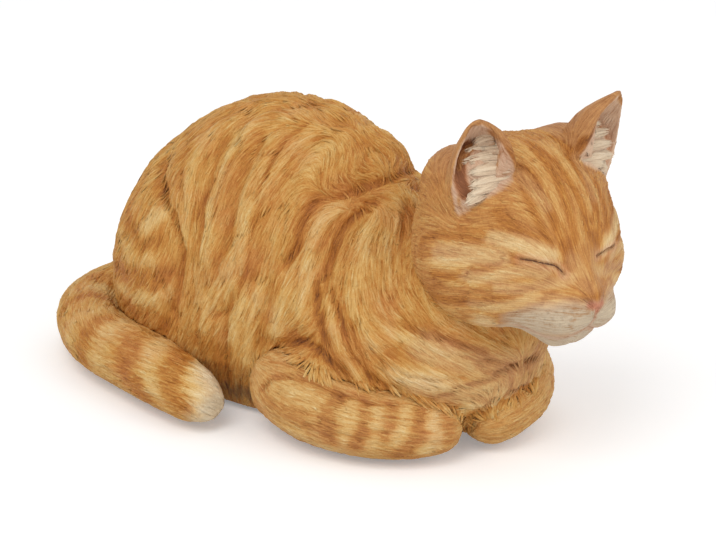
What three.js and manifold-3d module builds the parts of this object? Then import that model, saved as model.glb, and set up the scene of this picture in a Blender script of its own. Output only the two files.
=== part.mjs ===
// A life-size ginger tabby cat, resting with its forelegs folded: a hollow cold-cast resin ornament.
// Five castings are glued together on steel dowels, a plate closes the underside, and four felt pads
// carry the figure. X points the way the cat faces, Y to its left and Z up. Lengths are in millimetres.
import * as THREE from "three";
import { mergeVertices } from "three/addons/utils/BufferGeometryUtils.js";
import Module from "manifold-3d";

const wasm = await Module();
wasm.setup();

// Main sizes of the figure.
const TRUNK_LENGTH = 192;
const TRUNK_WIDTH = 140;
const TRUNK_MIDDLE = 67;
const BACK_HEIGHT = 164;
const SKULL_LENGTH = 104;
const SKULL_WIDTH = 102;
const SKULL_DEPTH = 86;
const HEAD_BEYOND_TRUNK = 64;
const HEAD_BELOW_BACK = 37;
const HEAD_TO_LEFT = 2;
const TAIL_THICKNESS = 37;
const FORELEG_THICKNESS = 44;
const FOLD_DEPTH = 3.4;
const FOLD_WIDTH = 7;
const FOLD_PITCH = 22;
const FOLD_COUNT = 3;

// Walls, fits and hardware.
const BODY_WALL = 6.5;
const HEAD_WALL = 5.5;
const HEAD_FLOOR = 16;
const GLUE_GAP = 0.3;
const WELD_DISTANCE = 0.02;
const PAD_THICKNESS = 2;
const PAD_RADIUS = 11;
const PLATE_THICKNESS = 5;
const PLATE_RIM = 6;
const PLATE_LEDGE = 6;
const FLANGE_THICKNESS = 5;
const VENT_RADIUS = 6;
const DOWEL_RADIUS = 2.5;
const DOWEL_FIT = 0.1;
const DOWEL_LENGTH = 26;
const BOSS_WALL = 6;
const POUR_HOLE_RADIUS = 7;
const SEAT_WALL = 6;
const EAR_WALL = 3.2;
const EAR_SIDES = 14;
const EAR_BULGE_AT_BASE = 1.35;
const EAR_BULGE_AT_TIP = 0.55;
const EYE_SLIT_RADIUS = 0.9;
const MOUTH_LINE_RADIUS = 0.8;
const NECK_DOWEL_SPREAD = 18;
const OUTLINE_POINTS = 48;
const PAD_FRONT_INSET = 29;
const PAD_REAR_INSET = 59;
const PAD_SPREAD = 34;
const VENT_BEHIND_PAD = 42;
const UNDERSIDE = PAD_THICKNESS;

const UP = new THREE.Vector3(0, 0, 1);

// A point deep in the face, X and Z, from which its lines are pushed onto the skin.
const HEART_OF_FACE = [10, -12];

// How the head is turned, in degrees.
const HEAD_TURN_RIGHT = 10.4;
const HEAD_NOD = 9.8;
const HEAD_ROLL = 1.7;

const degrees = THREE.MathUtils.degToRad;

// An ellipsoid that can be turned about Z (yaw), Y (pitch) and X (roll), in degrees. It melts into the
// blobs before it over the width `blend`.
function blob(centre, radii, { yaw = 0, pitch = 0, roll = 0, blend = 18 } = {}) {
  const turn = new THREE.Matrix4().makeRotationFromEuler(
    new THREE.Euler(degrees(roll), degrees(pitch), degrees(yaw), "ZYX"),
  );
  return { centre, radii, blend, e: turn.transpose().elements };
}

function bothSides(makeBlob) {
  return [makeBlob(1), makeBlob(-1)];
}

// The trunk's ends, from which what is at either end takes its place, and its side.
const rumpEnd = -TRUNK_LENGTH / 2;
const foreEnd = TRUNK_LENGTH / 2;
const flank = TRUNK_WIDTH / 2;
const HEAD_AT = new THREE.Vector3(foreEnd + HEAD_BEYOND_TRUNK, HEAD_TO_LEFT, BACK_HEIGHT - HEAD_BELOW_BACK);

// The masses of the body: how far forward of the trunk's end they lie, how far in from its side and
// how far their tops drop below its back.
const rump = { forward: 71, length: 178, inset: 4, middle: 68, drop: 23 };
const haunch = { forward: 59, length: 132, inset: 0, thickness: 80, middle: 54, drop: 54 };
const shoulders = { forward: -15, length: 112, inset: 12, middle: 46, drop: 66 };
const chest = { forward: 17, length: 96, inset: 20, middle: 56, drop: 60 };
const upperArm = { forward: -21, length: 92, inset: 2, thickness: 64, middle: 58, drop: 58 };
const throat = { behindHead: 37, belowHead: 41, length: 64, width: 84, depth: 60 };

function mass(end, { forward, length, inset, middle, drop }, blend) {
  const height = BACK_HEIGHT - drop - middle;
  return blob([end + forward, 0, middle], [length / 2, flank - inset, height], { blend });
}

function masses(end, { forward, length, inset, thickness, middle, drop }, blend) {
  const radii = [length / 2, thickness / 2, BACK_HEIGHT - drop - middle];
  const y = flank - inset - thickness / 2;
  return bothSides((side) => blob([end + forward, side * y, middle], radii, { blend }));
}

const trunk = [
  blob([0, 0, TRUNK_MIDDLE], [TRUNK_LENGTH / 2, flank, BACK_HEIGHT - TRUNK_MIDDLE]),
  mass(rumpEnd, rump, 18),
  ...masses(rumpEnd, haunch, 12),
];

const forequarters = [
  mass(foreEnd, shoulders, 20),
  mass(foreEnd, chest, 18),
  ...masses(foreEnd, upperArm, 14),
];

const neck = blob(
  [HEAD_AT.x - throat.behindHead, 0, HEAD_AT.z - throat.belowHead],
  [throat.length / 2, throat.width / 2, throat.depth / 2],
  { blend: 12 },
);

const bodyForm = [...trunk, ...forequarters, neck];

// The head's own form, about its own centre and facing along X, with its masses placed from the skull's.
const skull = { x: -10, z: 1 };
const skullFront = skull.x + SKULL_LENGTH / 2;
const skullSide = SKULL_WIDTH / 2;
const skullTop = skull.z + SKULL_DEPTH / 2;
const skullBottom = skull.z - SKULL_DEPTH / 2;
const headForm = [
  blob([skull.x, 0, skull.z], [SKULL_LENGTH / 2, skullSide, SKULL_DEPTH / 2]),
  ...bothSides((side) => blob([-4, side * (skullSide - 23), skullBottom + 22], [38, 26, 27], { blend: 16 })),
  blob([skullFront - 24, 0, skullBottom + 26], [30, 30, 24], { blend: 18 }),
  ...bothSides((side) => blob([skullFront - 4, side * 10.5, skullBottom + 15], [18.5, 13.5, 12.5], { blend: 12 })),
  ...bothSides((side) => {
    return blob([skullFront - 18, side * (skullSide - 32), skullTop - 41], [13, 14, 10.5], { blend: 12 });
  }),
  blob([skullFront - 4, 0, skullTop - 52], [25, 9.5, 11], { pitch: 33, blend: 12 }),
  blob([skullFront - 9, 0, skullBottom + 3], [15, 14, 10], { blend: 10 }),
  ...bothSides((side) => blob([-18, side * (skullSide - 15), skullTop - 20], [20, 18, 20], { blend: 14 })),
];

// The body's main folds on a view from its side, as X and Z along each of them.
const flankFoldX = rumpEnd + 85;
const flankFolds = Array.from({ length: FOLD_COUNT }, (_, i) => {
  const x = flankFoldX + i * FOLD_PITCH;
  return [
    [x - 4, BACK_HEIGHT - 18],
    [x, BACK_HEIGHT - 70],
    [x - 4, BACK_HEIGHT - 116],
  ];
});
const thighFold = [
  [rumpEnd + 24, BACK_HEIGHT - 39],
  [rumpEnd + 60, BACK_HEIGHT - 58],
  [rumpEnd + 76, BACK_HEIGHT - 84],
  [rumpEnd + 70, BACK_HEIGHT - 116],
];
const shoulderFold = [
  [foreEnd - 26, BACK_HEIGHT - 30],
  [foreEnd - 46, BACK_HEIGHT - 40],
  [foreEnd - 50, BACK_HEIGHT - 70],
];
const armpitFold = [
  [foreEnd - 28, BACK_HEIGHT - 44],
  [foreEnd - 24, BACK_HEIGHT - 80],
  [foreEnd - 12, BACK_HEIGHT - 104],
];
const armFold = [
  [foreEnd - 17, BACK_HEIGHT - 75],
  [foreEnd - 3, BACK_HEIGHT - 96],
  [foreEnd + 18, BACK_HEIGHT - 122],
];
const elbowFold = [
  [foreEnd - 53, BACK_HEIGHT - 118],
  [foreEnd - 28, BACK_HEIGHT - 104],
  [foreEnd - 2, BACK_HEIGHT - 116],
];
const foldLines = [...flankFolds, thighFold, shoulderFold, armpitFold, armFold, elbowFold];

// About how far a point lies from a blob's surface, negative inside it.
function blobDistance(b, x, y, z) {
  const dx = x - b.centre[0];
  const dy = y - b.centre[1];
  const dz = z - b.centre[2];
  const px = b.e[0] * dx + b.e[4] * dy + b.e[8] * dz;
  const py = b.e[1] * dx + b.e[5] * dy + b.e[9] * dz;
  const pz = b.e[2] * dx + b.e[6] * dy + b.e[10] * dz;
  const [rx, ry, rz] = b.radii;
  const shell = Math.hypot(px / rx, py / ry, pz / rz);
  const slope = Math.hypot(px / (rx * rx), py / (ry * ry), pz / (rz * rz));
  return slope < 1e-9 ? -Math.min(rx, ry, rz) : (shell * (shell - 1)) / slope;
}

function formDistance(form, x, y, z) {
  let d = blobDistance(form[0], x, y, z);
  for (let i = 1; i < form.length; i++) {
    const next = blobDistance(form[i], x, y, z);
    const k = form[i].blend;
    const h = Math.max(k - Math.abs(d - next), 0) / k;
    d = Math.min(d, next) - h * h * k * 0.25;
  }
  return d;
}

// How deep the folds press the body's skin in at a point.
function foldDepth(x, z) {
  let depth = 0;
  for (const line of foldLines) {
    let nearest = Infinity;
    for (let i = 1; i < line.length; i++) {
      const [ax, az] = line[i - 1];
      const dx = line[i][0] - ax;
      const dz = line[i][1] - az;
      const t = Math.min(Math.max(((x - ax) * dx + (z - az) * dz) / (dx * dx + dz * dz), 0), 1);
      nearest = Math.min(nearest, Math.hypot(x - ax - t * dx, z - az - t * dz));
    }
    depth = Math.max(depth, FOLD_DEPTH * Math.exp(-((nearest / FOLD_WIDTH) ** 2)));
  }
  return depth;
}

const headField = (x, y, z) => formDistance(headForm, x, y, z);
const hollowField = (x, y, z) => formDistance([...trunk, ...forequarters], x, y, z);
const bodyField = (x, y, z) => formDistance(bodyForm, x, y, z) + foldDepth(x, z);

// The point where a ray from inside a form leaves it, reached from outside. `level` sets the surface
// off the form, inwards if negative.
function leavingPoint(field, from, direction, level) {
  const p = new THREE.Vector3();
  let t = 1.4 * TRUNK_LENGTH;
  for (let step = 0; step < 300; step++) {
    p.copy(from).addScaledVector(direction, t);
    const d = field(p.x, p.y, p.z) - level;
    if (d < 0.01 || t < 1) break;
    t -= d * 0.7;
  }
  return p.copy(from).addScaledVector(direction, Math.max(t, 1));
}

// A ball of even triangles, shrunk onto a form. Its rays start from a straight core along X.
function shrinkWrap(field, { centre, coreHalf = 0, detail, level = 0 }) {
  const skin = bare(new THREE.IcosahedronGeometry(1, detail));
  const p = skin.getAttribute("position");
  const ray = new THREE.Vector3();
  const from = new THREE.Vector3();
  for (let i = 0; i < p.count; i++) {
    ray.fromBufferAttribute(p, i);
    from.set(centre[0] + ray.x * coreHalf, centre[1], centre[2]);
    p.setXYZ(i, ...leavingPoint(field, from, ray, level));
  }
  return skin;
}

// A skin of rings across X, shrunk onto a form from a straight core, so that it follows folds across X.
function ringWrap(field, { centre, coreHalf, count, sides, level = 0 }) {
  const from = new THREE.Vector3();
  const reach = (x, y, z) => {
    from.set(centre[0] + x * coreHalf, centre[1], centre[2]);
    return leavingPoint(field, from, new THREE.Vector3(x, y, z), level);
  };
  const rings = [];
  for (let i = 0; i < count; i++) {
    const x = (2 * i + 1) / count - 1;
    const r = Math.sqrt(1 - x * x);
    const ring = [];
    for (let j = 0; j < sides; j++) {
      const a = (j / sides) * 2 * Math.PI;
      ring.push(reach(x, r * Math.cos(a), r * Math.sin(a)));
    }
    rings.push(ring);
  }
  return loft(rings, reach(-1, 0, 0), reach(1, 0, 0));
}

// A geometry reduced to its corner points and triangles.
function bare(geometry) {
  geometry.deleteAttribute("normal");
  geometry.deleteAttribute("uv");
  return mergeVertices(geometry, 1e-4);
}

// A solid through rings of points, closed by a point at each end.
function loft(rings, first, last) {
  const sides = rings[0].length;
  const points = [...rings.flat(), first, last];
  const f = points.length - 2;
  const l = points.length - 1;
  const end = (rings.length - 1) * sides;
  const index = [];
  for (let j = 0; j < sides; j++) {
    const k = (j + 1) % sides;
    for (let i = 0; i < end; i += sides) {
      index.push(i + j, i + k, i + j + sides);
      index.push(i + k, i + k + sides, i + j + sides);
    }
    index.push(f, k, j);
    index.push(l, end + j, end + k);
  }
  const g = new THREE.BufferGeometry().setFromPoints(points);
  g.setIndex(index);
  return g;
}

// A limb that swells and tapers along a smooth line through its stations, each [x, y, z, radius].
function limb(stations, { steps, sides, level = 0 }) {
  const line = new THREE.CatmullRomCurve3(stations.map(([x, y, z]) => new THREE.Vector3(x, y, z)));
  const girth = new THREE.CatmullRomCurve3(stations.map((s, i) => new THREE.Vector3(i, s[3], 0)));
  const rings = [];
  for (let i = 0; i <= steps; i++) {
    const t = i / steps;
    const along = line.getTangent(t);
    const across = new THREE.Vector3(0, 0, 1).cross(along).normalize();
    const up = new THREE.Vector3().crossVectors(along, across);
    const r = girth.getPoint(t).y + level;
    rings.push(roundRing(line.getPoint(t), across, up, r, sides));
  }
  const first = line.getPoint(0).addScaledVector(line.getTangent(0), -level);
  const last = line.getPoint(1).addScaledVector(line.getTangent(1), level);
  return loft(rings, first, last);
}

function roundRing(centre, across, up, radius, sides) {
  const ring = [];
  for (let j = 0; j < sides; j++) {
    const a = (j / sides) * 2 * Math.PI;
    const p = centre.clone().addScaledVector(across, radius * Math.cos(a));
    ring.push(p.addScaledVector(up, radius * Math.sin(a)));
  }
  return ring;
}

function solid(geometry) {
  const mesh = new wasm.Mesh({
    numProp: 3,
    vertProperties: new Float32Array(geometry.getAttribute("position").array),
    triVerts: new Uint32Array(geometry.index.array),
  });
  return wasm.Manifold.ofMesh(mesh);
}

// A solid as a named mesh, with corners that cuts left within a hair of each other made one.
function meshOf(name, shape, material) {
  const { vertProperties, triVerts } = shape.getMesh();
  const cut = new THREE.BufferGeometry();
  cut.setAttribute("position", new THREE.BufferAttribute(new Float32Array(vertProperties), 3));
  cut.setIndex(new THREE.BufferAttribute(new Uint32Array(triVerts), 1));
  const g = mergeVertices(cut, WELD_DISTANCE);
  const corners = [];
  for (let i = 0; i < g.index.count; i += 3) {
    const [a, b, c] = [0, 1, 2].map((k) => g.index.getX(i + k));
    if (a !== b && b !== c && c !== a) corners.push(a, b, c);
  }
  g.setIndex(corners);
  g.computeVertexNormals();
  const mesh = new THREE.Mesh(g, material);
  mesh.name = name;
  return mesh;
}

function slab(bottom, top) {
  const g = new THREE.BoxGeometry(3 * TRUNK_LENGTH, 3 * TRUNK_LENGTH, top - bottom);
  g.translate(0, 0, (bottom + top) / 2);
  return solid(bare(g));
}

// A round bar centred on a point, along a direction.
function bar(at, direction, radius, length, sides = 16) {
  const g = bare(new THREE.CylinderGeometry(radius, radius, length, sides));
  g.applyQuaternion(new THREE.Quaternion().setFromUnitVectors(new THREE.Vector3(0, 1, 0), direction));
  g.translate(at.x, at.y, at.z);
  return solid(g);
}

// A straight-sided slug of the underside's outline, set in from the skin at the level of the underside.
function footSlug(inset, bottom, top) {
  const outline = [];
  const from = new THREE.Vector3(0, 0, UNDERSIDE);
  for (let i = 0; i < OUTLINE_POINTS; i++) {
    const a = (i / OUTLINE_POINTS) * 2 * Math.PI;
    const p = leavingPoint(bodyField, from, new THREE.Vector3(Math.cos(a), Math.sin(a), 0), -inset);
    outline.push(new THREE.Vector2(p.x, p.y));
  }
  const shape = new THREE.Shape(outline);
  const g = new THREE.ExtrudeGeometry(shape, { depth: top - bottom, bevelEnabled: false });
  g.translate(0, 0, bottom);
  return solid(bare(g));
}

const bodyWrap = { centre: [11, 0, TRUNK_MIDDLE + 2], coreHalf: TRUNK_LENGTH / 2 - 30 };
const skinWrap = { ...bodyWrap, count: 46, sides: 36 };

// The limbs' lines and radii as [x, y, z, radius], lying on the ground beside the trunk.
const tailRadius = TAIL_THICKNESS / 2;
const tailHeight = UNDERSIDE + tailRadius;
const tailStations = [
  [rumpEnd + 9, 2, tailHeight + 21.5, tailRadius - 10.5],
  [rumpEnd - 9, 4, tailHeight + 14.5, tailRadius - 1.5],
  [rumpEnd - 32, -8, tailHeight + 2.5, tailRadius + 0.5],
  [rumpEnd - 32, 36 - flank, tailHeight, tailRadius],
  [rumpEnd, 8 - flank, tailHeight, tailRadius],
  [rumpEnd + 51, -6 - flank, tailHeight, tailRadius],
  [foreEnd - 93, -16 - flank, tailHeight - 2.5, tailRadius - 3],
  [foreEnd - 78, -19 - flank, tailHeight - 4.5, tailRadius - 9.5],
];

const legRadius = FORELEG_THICKNESS / 2;
const legHeight = UNDERSIDE + legRadius + 0.5;
const rightForelegStations = [
  [foreEnd - 69, 24 - flank, legHeight + 5.5, legRadius - 12],
  [foreEnd - 53, 16 - flank, legHeight + 2.5, legRadius + 1],
  [foreEnd - 27, 8 - flank, legHeight, legRadius],
  [foreEnd + 3, 10 - flank, legHeight - 3, legRadius - 3],
  [foreEnd + 26, 25 - flank, legHeight - 4.5, legRadius - 4.5],
  [foreEnd + 36, 40 - flank, legHeight - 5.5, legRadius - 8],
  [foreEnd + 39, 46 - flank, legHeight - 5.5, legRadius - 14],
];

const leftForelegStations = [
  [foreEnd - 41, flank - 24, legHeight + 5.5, legRadius - 12],
  [foreEnd - 19, flank - 16, legHeight + 1.5, legRadius],
  [foreEnd + 15, flank - 22, legHeight, legRadius],
  [foreEnd + 36, flank - 43, legHeight - 1, legRadius - 1],
  [foreEnd + 43, flank - 63, legHeight - 3, legRadius - 3],
  [foreEnd + 43, flank - 77, legHeight - 5.5, legRadius - 5.5],
  [foreEnd + 41, flank - 86, legHeight - 6.5, legRadius - 13],
];

// The rims of an ear's opening, from deep in the head to the tip: X, how far in from the skull's side,
// and how far above its top.
const innerEarRim = [
  [2, 37, -20],
  [8, 27.5, 4],
  [5, 21.5, 16],
  [4, 13, 23],
  [2.5, 5, 27],
];
const outerEarRim = [
  [-8, 19, -48],
  [-2, 1.7, -30],
  [-2.5, -4, -15],
  [-3, -5, 2],
  [-1, -2.5, 19],
];

// Points on the right closed eye and on the right half of the mouth, pushed onto the head's skin.
const eyeLine = [
  [45, -14, -0.5],
  [44, -19, 2.5],
  [41, -25, 4],
  [36, -33, 5.4],
];
const mouthLine = [
  [57, 0, -29],
  [53, -7, -33],
  [44, -14, -37],
  [33, -21, -38],
];

function earRim(points, side) {
  return new THREE.CatmullRomCurve3(
    points.map(([x, inset, rise]) => new THREE.Vector3(x, side * (skullSide - inset), skullTop + rise)),
  );
}

// An ear of D-shaped sections between its rims, or the hollow in it when set in from the rims.
function ear(side, { from, levels, inset, frontDepth, tipRise }) {
  const inner = earRim(innerEarRim, side);
  const outer = earRim(outerEarRim, side);
  const rings = [];
  for (let i = 0; i <= levels; i++) {
    const t = from + ((1 - from) * i) / levels;
    const a = inner.getPoint(t);
    const b = outer.getPoint(t);
    const rise = inner.getTangent(t).add(outer.getTangent(t)).normalize();
    const across = a.clone().sub(b);
    const taper = inset > 0 ? Math.sin(Math.PI * (0.05 + (0.8 * i) / levels)) ** 0.6 : 1;
    const half = Math.max(across.length() / 2 - inset, 1) * taper;
    across.normalize();
    const back = new THREE.Vector3().crossVectors(rise, across).multiplyScalar(-side).normalize();
    const backDepth = (EAR_BULGE_AT_BASE + (EAR_BULGE_AT_TIP - EAR_BULGE_AT_BASE) * t) * half;
    rings.push(earRing(a.lerp(b, 0.5), across, back, { half, backDepth, frontDepth, side }));
  }
  const tip = centroid(rings[levels]).addScaledVector(outer.getTangent(1), tipRise);
  return solid(loft(rings, centroid(rings[0]), tip));
}

function earRing(mid, across, back, { half, backDepth, frontDepth, side }) {
  const ring = [];
  for (let j = 0; j < EAR_SIDES; j++) {
    const a = (j / EAR_SIDES) * 2 * Math.PI;
    const towardsBack = -Math.sin(a) * side;
    const depth = towardsBack > 0 ? backDepth : frontDepth;
    const p = mid.clone().addScaledVector(across, half * Math.cos(a));
    ring.push(p.addScaledVector(back, depth * towardsBack));
  }
  return ring;
}

function centroid(ring) {
  return ring.reduce((sum, p) => sum.add(p), new THREE.Vector3()).divideScalar(ring.length);
}

// A fine round groove along a line that is pushed onto the head's skin.
function headGroove(points, side, radius) {
  const heart = new THREE.Vector3(HEART_OF_FACE[0], 0, HEART_OF_FACE[1]);
  const stations = points.map(([x, y, z]) => {
    const ray = new THREE.Vector3(x, -side * y, z).sub(heart).normalize();
    return [...leavingPoint(headField, heart, ray, 0), radius];
  });
  return solid(limb(stations, { steps: 7, sides: 5 }));
}

const headPlace = new THREE.Matrix4().compose(
  HEAD_AT,
  new THREE.Quaternion().setFromEuler(
    new THREE.Euler(degrees(-HEAD_ROLL), degrees(HEAD_NOD), degrees(-HEAD_TURN_RIGHT), "ZYX"),
  ),
  new THREE.Vector3(1, 1, 1),
);

const tailShape = { steps: 26, sides: 12 };
const forelegShape = { steps: 18, sides: 12 };
const tailSolid = solid(limb(tailStations, tailShape));
const rightForelegSolid = solid(limb(rightForelegStations, forelegShape));
const leftForelegSolid = solid(limb(leftForelegStations, forelegShape));

// A limb's room in the body: its own shape grown by a clearance.
function limbRoom(stations, shape, clearance) {
  return solid(limb(stations, { ...shape, level: clearance }));
}

const limbs = [
  { stations: tailStations, shape: tailShape },
  { stations: rightForelegStations, shape: forelegShape },
  { stations: leftForelegStations, shape: forelegShape },
];

// Where each limb's dowel crosses from the body into the limb, and which way it runs.
function rootDowel([[x, y, z], [nextX, nextY, nextZ]]) {
  const at = new THREE.Vector3(x, y, z);
  return { at, along: new THREE.Vector3(nextX, nextY, nextZ).sub(at).normalize() };
}

// The two pins that hold the head cross its seat on the neck, one on each side.
const neckAlong = new THREE.Vector3(0.85, 0, 0.53).normalize();
function neckSeatPoint(y) {
  return leavingPoint(bodyField, new THREE.Vector3(neck.centre[0], y, neck.centre[2]), neckAlong, 0);
}
const neckDowels = bothSides((side) => ({
  at: neckSeatPoint(side * NECK_DOWEL_SPREAD),
  along: neckAlong,
}));
const limbDowels = limbs.map(({ stations }) => rootDowel(stations));
const dowels = [...neckDowels, ...limbDowels];
const dowelNames = [
  "neck_dowel_left",
  "neck_dowel_right",
  "tail_dowel",
  "right_foreleg_dowel",
  "left_foreleg_dowel",
];
const dowelSockets = dowels.map(({ at, along }) =>
  bar(at, along, DOWEL_RADIUS + DOWEL_FIT, DOWEL_LENGTH + 2 * DOWEL_FIT),
);

function without(shape, cutters) {
  return cutters.reduce((rest, cutter) => rest.subtract(cutter), shape);
}

// The trunk: a hollow casting with a seat for the neck pins, each limb and the plate below.
const plateSeat = UNDERSIDE + PLATE_THICKNESS + GLUE_GAP;
const hollowFloor = plateSeat + FLANGE_THICKNESS;
const innerWrap = { ...bodyWrap, detail: 4, level: -BODY_WALL };
const bodySkin = solid(ringWrap(bodyField, skinWrap));
const bodyHollow = without(solid(shrinkWrap(hollowField, innerWrap)), [
  slab(-100, hollowFloor),
  ...limbs.map(({ stations }) => {
    return limbRoom(stations, { steps: 8, sides: 8 }, GLUE_GAP + SEAT_WALL);
  }),
  ...limbDowels.map(({ at, along }) => {
    return bar(at, along, DOWEL_RADIUS + BOSS_WALL, DOWEL_LENGTH + BOSS_WALL, 12);
  }),
]);
const body = without(bodySkin, [
  slab(-100, UNDERSIDE),
  bodyHollow,
  footSlug(PLATE_RIM + PLATE_LEDGE, 0, hollowFloor + 1),
  footSlug(PLATE_RIM, 0, plateSeat),
  ...limbs.map(({ stations, shape }) => limbRoom(stations, shape, GLUE_GAP)),
  ...dowelSockets,
]);

// The head: a hollow casting with its ears, a thick floor on the neck, and a pour hole in that floor.
const earShape = { levels: 10, inset: 0, from: 0.04, frontDepth: 0.6, tipRise: 3 };
const earHollow = { levels: 8, inset: EAR_WALL, from: 0.25, frontDepth: 4, tipRise: 0 };
const headSkin = solid(shrinkWrap(headField, { centre: [0, 0, 0], detail: 10 }));
const headHollow = solid(shrinkWrap(headField, { centre: [0, 0, 0], detail: 4, level: -HEAD_WALL }))
  .transform(headPlace.elements)
  .subtract(solid(shrinkWrap(bodyField, { ...bodyWrap, detail: 6, level: HEAD_FLOOR })));
const pourHole = bar(
  neckSeatPoint(0).addScaledVector(neckAlong, HEAD_FLOOR / 2),
  neckAlong,
  POUR_HOLE_RADIUS,
  HEAD_FLOOR * 1.5,
);
const headWithEars = headSkin.add(ear(1, earShape)).add(ear(-1, earShape));
const headCuts = [1, -1].flatMap((side) => [
  ear(side, earHollow),
  headGroove(eyeLine, side, EYE_SLIT_RADIUS),
  headGroove(mouthLine, side, MOUTH_LINE_RADIUS),
]);
const head = without(without(headWithEars, headCuts).transform(headPlace.elements), [
  solid(ringWrap(bodyField, { ...skinWrap, level: GLUE_GAP })),
  headHollow,
  pourHole,
  ...dowelSockets.slice(0, 2),
]);

const padFrontX = foreEnd - PAD_FRONT_INSET;
const padRearX = rumpEnd + PAD_REAR_INSET;
const ventX = padFrontX - VENT_BEHIND_PAD;
const plate = without(footSlug(PLATE_RIM + GLUE_GAP, UNDERSIDE, UNDERSIDE + PLATE_THICKNESS), [
  bar(new THREE.Vector3(ventX, 0, UNDERSIDE), UP, VENT_RADIUS, 4 * PLATE_THICKNESS, 24),
  ...limbs.map(({ stations, shape }) => limbRoom(stations, shape, 2 * GLUE_GAP)),
]);

const finish = (name, color, roughness, metalness = 0) =>
  new THREE.MeshStandardMaterial({ name, color, roughness, metalness });

const tail = tailSolid.subtract(dowelSockets[2]);
const rightForeleg = rightForelegSolid.subtract(dowelSockets[3]);
const leftForeleg = without(leftForelegSolid, [
  limbRoom(rightForelegStations, forelegShape, GLUE_GAP),
  dowelSockets[4],
]);

const cat = new THREE.Group();
cat.name = "cat_figurine";
const forelegPaint = finish("foreleg_paint", 0xb88e5b, 0.8);
cat.add(
  meshOf("body_shell", body, finish("body_paint", 0xb9864c, 0.8)),
  meshOf("head_shell", head, finish("head_paint", 0xbc8c59, 0.8)),
  meshOf("tail", tail, finish("tail_paint", 0xba8a54, 0.8)),
  meshOf("right_foreleg", rightForeleg, forelegPaint),
  meshOf("left_foreleg", leftForeleg, forelegPaint),
  meshOf("base_plate", plate, finish("plate_board", 0x4a3a2c, 0.9)),
);
const steel = finish("steel", 0xb8babd, 0.35, 1);
dowels.forEach(({ at, along }, i) => {
  cat.add(meshOf(dowelNames[i], bar(at, along, DOWEL_RADIUS, DOWEL_LENGTH), steel));
});
const padMaterial = finish("felt", 0x6b4a35, 0.95);
const padShape = bar(new THREE.Vector3(), UP, PAD_RADIUS, PAD_THICKNESS, 24);
for (const [end, x] of Object.entries({ front: padFrontX, rear: padRearX })) {
  for (const [hand, y] of Object.entries({ left: PAD_SPREAD / 2, right: -PAD_SPREAD / 2 })) {
    const pad = meshOf(`felt_pad_${end}_${hand}`, padShape, padMaterial);
    pad.position.set(x, y, PAD_THICKNESS / 2);
    cat.add(pad);
  }
}

// The origin lies on the ground, midway along and across the figure.
const box = new THREE.Box3().setFromObject(cat);
const middle = box.getCenter(new THREE.Vector3());
for (const piece of cat.children) {
  piece.position.sub(new THREE.Vector3(middle.x, middle.y, box.min.z));
}

export default cat;
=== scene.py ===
# A resting ginger tabby cat, cast in resin, with carved and dry-brushed fur.
# Lengths in the code are millimetres, and meshes are written in metres.
import math

import bmesh
import bpy
import numpy as np
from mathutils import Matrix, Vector
from mathutils.bvhtree import BVHTree
from mathutils.kdtree import KDTree


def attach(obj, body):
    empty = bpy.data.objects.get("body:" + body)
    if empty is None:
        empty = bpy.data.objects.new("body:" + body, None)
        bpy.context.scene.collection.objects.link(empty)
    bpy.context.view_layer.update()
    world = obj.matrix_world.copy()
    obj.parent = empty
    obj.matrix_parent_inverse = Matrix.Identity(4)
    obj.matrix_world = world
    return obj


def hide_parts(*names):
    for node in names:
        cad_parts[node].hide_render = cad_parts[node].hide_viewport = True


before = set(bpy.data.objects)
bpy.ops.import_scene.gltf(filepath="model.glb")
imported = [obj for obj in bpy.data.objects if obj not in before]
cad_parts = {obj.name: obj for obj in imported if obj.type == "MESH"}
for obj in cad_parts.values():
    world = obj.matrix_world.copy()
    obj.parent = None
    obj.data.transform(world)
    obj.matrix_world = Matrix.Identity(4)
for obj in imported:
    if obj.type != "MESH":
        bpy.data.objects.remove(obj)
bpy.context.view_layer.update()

# How fine the work is: the grain of each skin, and the locks of fur on a third of the body.
GRAIN = 0.99
LIMB_GRAIN = GRAIN * 0.85
HEAD_GRAIN = 0.82
MANY = 8000

# The camera stands where the photograph was taken from.
TARGET = np.array([10.54, 12.47, 75.9])
AZIMUTH = math.radians(42)
ELEVATION = math.radians(20)
DISTANCE = 2000.0
FOCAL_PX = 3700.0
FRAME_W, FRAME_H = 716, 540
SENSOR = 36
BACK = np.array([
    math.sin(AZIMUTH) * math.cos(ELEVATION),
    -math.cos(AZIMUTH) * math.cos(ELEVATION),
    math.sin(ELEVATION),
])
RIGHT = np.array([math.cos(AZIMUTH), math.sin(AZIMUTH), 0.0])
UP = np.cross(BACK, RIGHT)
EYE = TARGET + BACK * DISTANCE


def put(name, data):
    """A new object in the scene, at the origin."""
    made = bpy.data.objects.new(name, data)
    bpy.context.scene.collection.objects.link(made)
    return made


def make_camera():
    data = bpy.data.cameras.new("photo_camera")
    data.sensor_width = SENSOR
    data.lens = FOCAL_PX / FRAME_W * SENSOR
    data.clip_end = 50
    camera = put("photo_camera", data)
    camera.location = EYE / 1000
    camera.rotation_euler = Vector(BACK).to_track_quat("Z", "Y").to_euler()
    bpy.context.scene.camera = camera


# Helpers for numbers.
def unit(a):
    return a / np.maximum(np.linalg.norm(a, axis=-1, keepdims=True), 1e-9)


def fade(x, low, high):
    """A smooth rise from 0 at low to 1 at high."""
    t = np.clip((x - low) / (high - low), 0, 1)
    return t * t * (3 - 2 * t)


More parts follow.
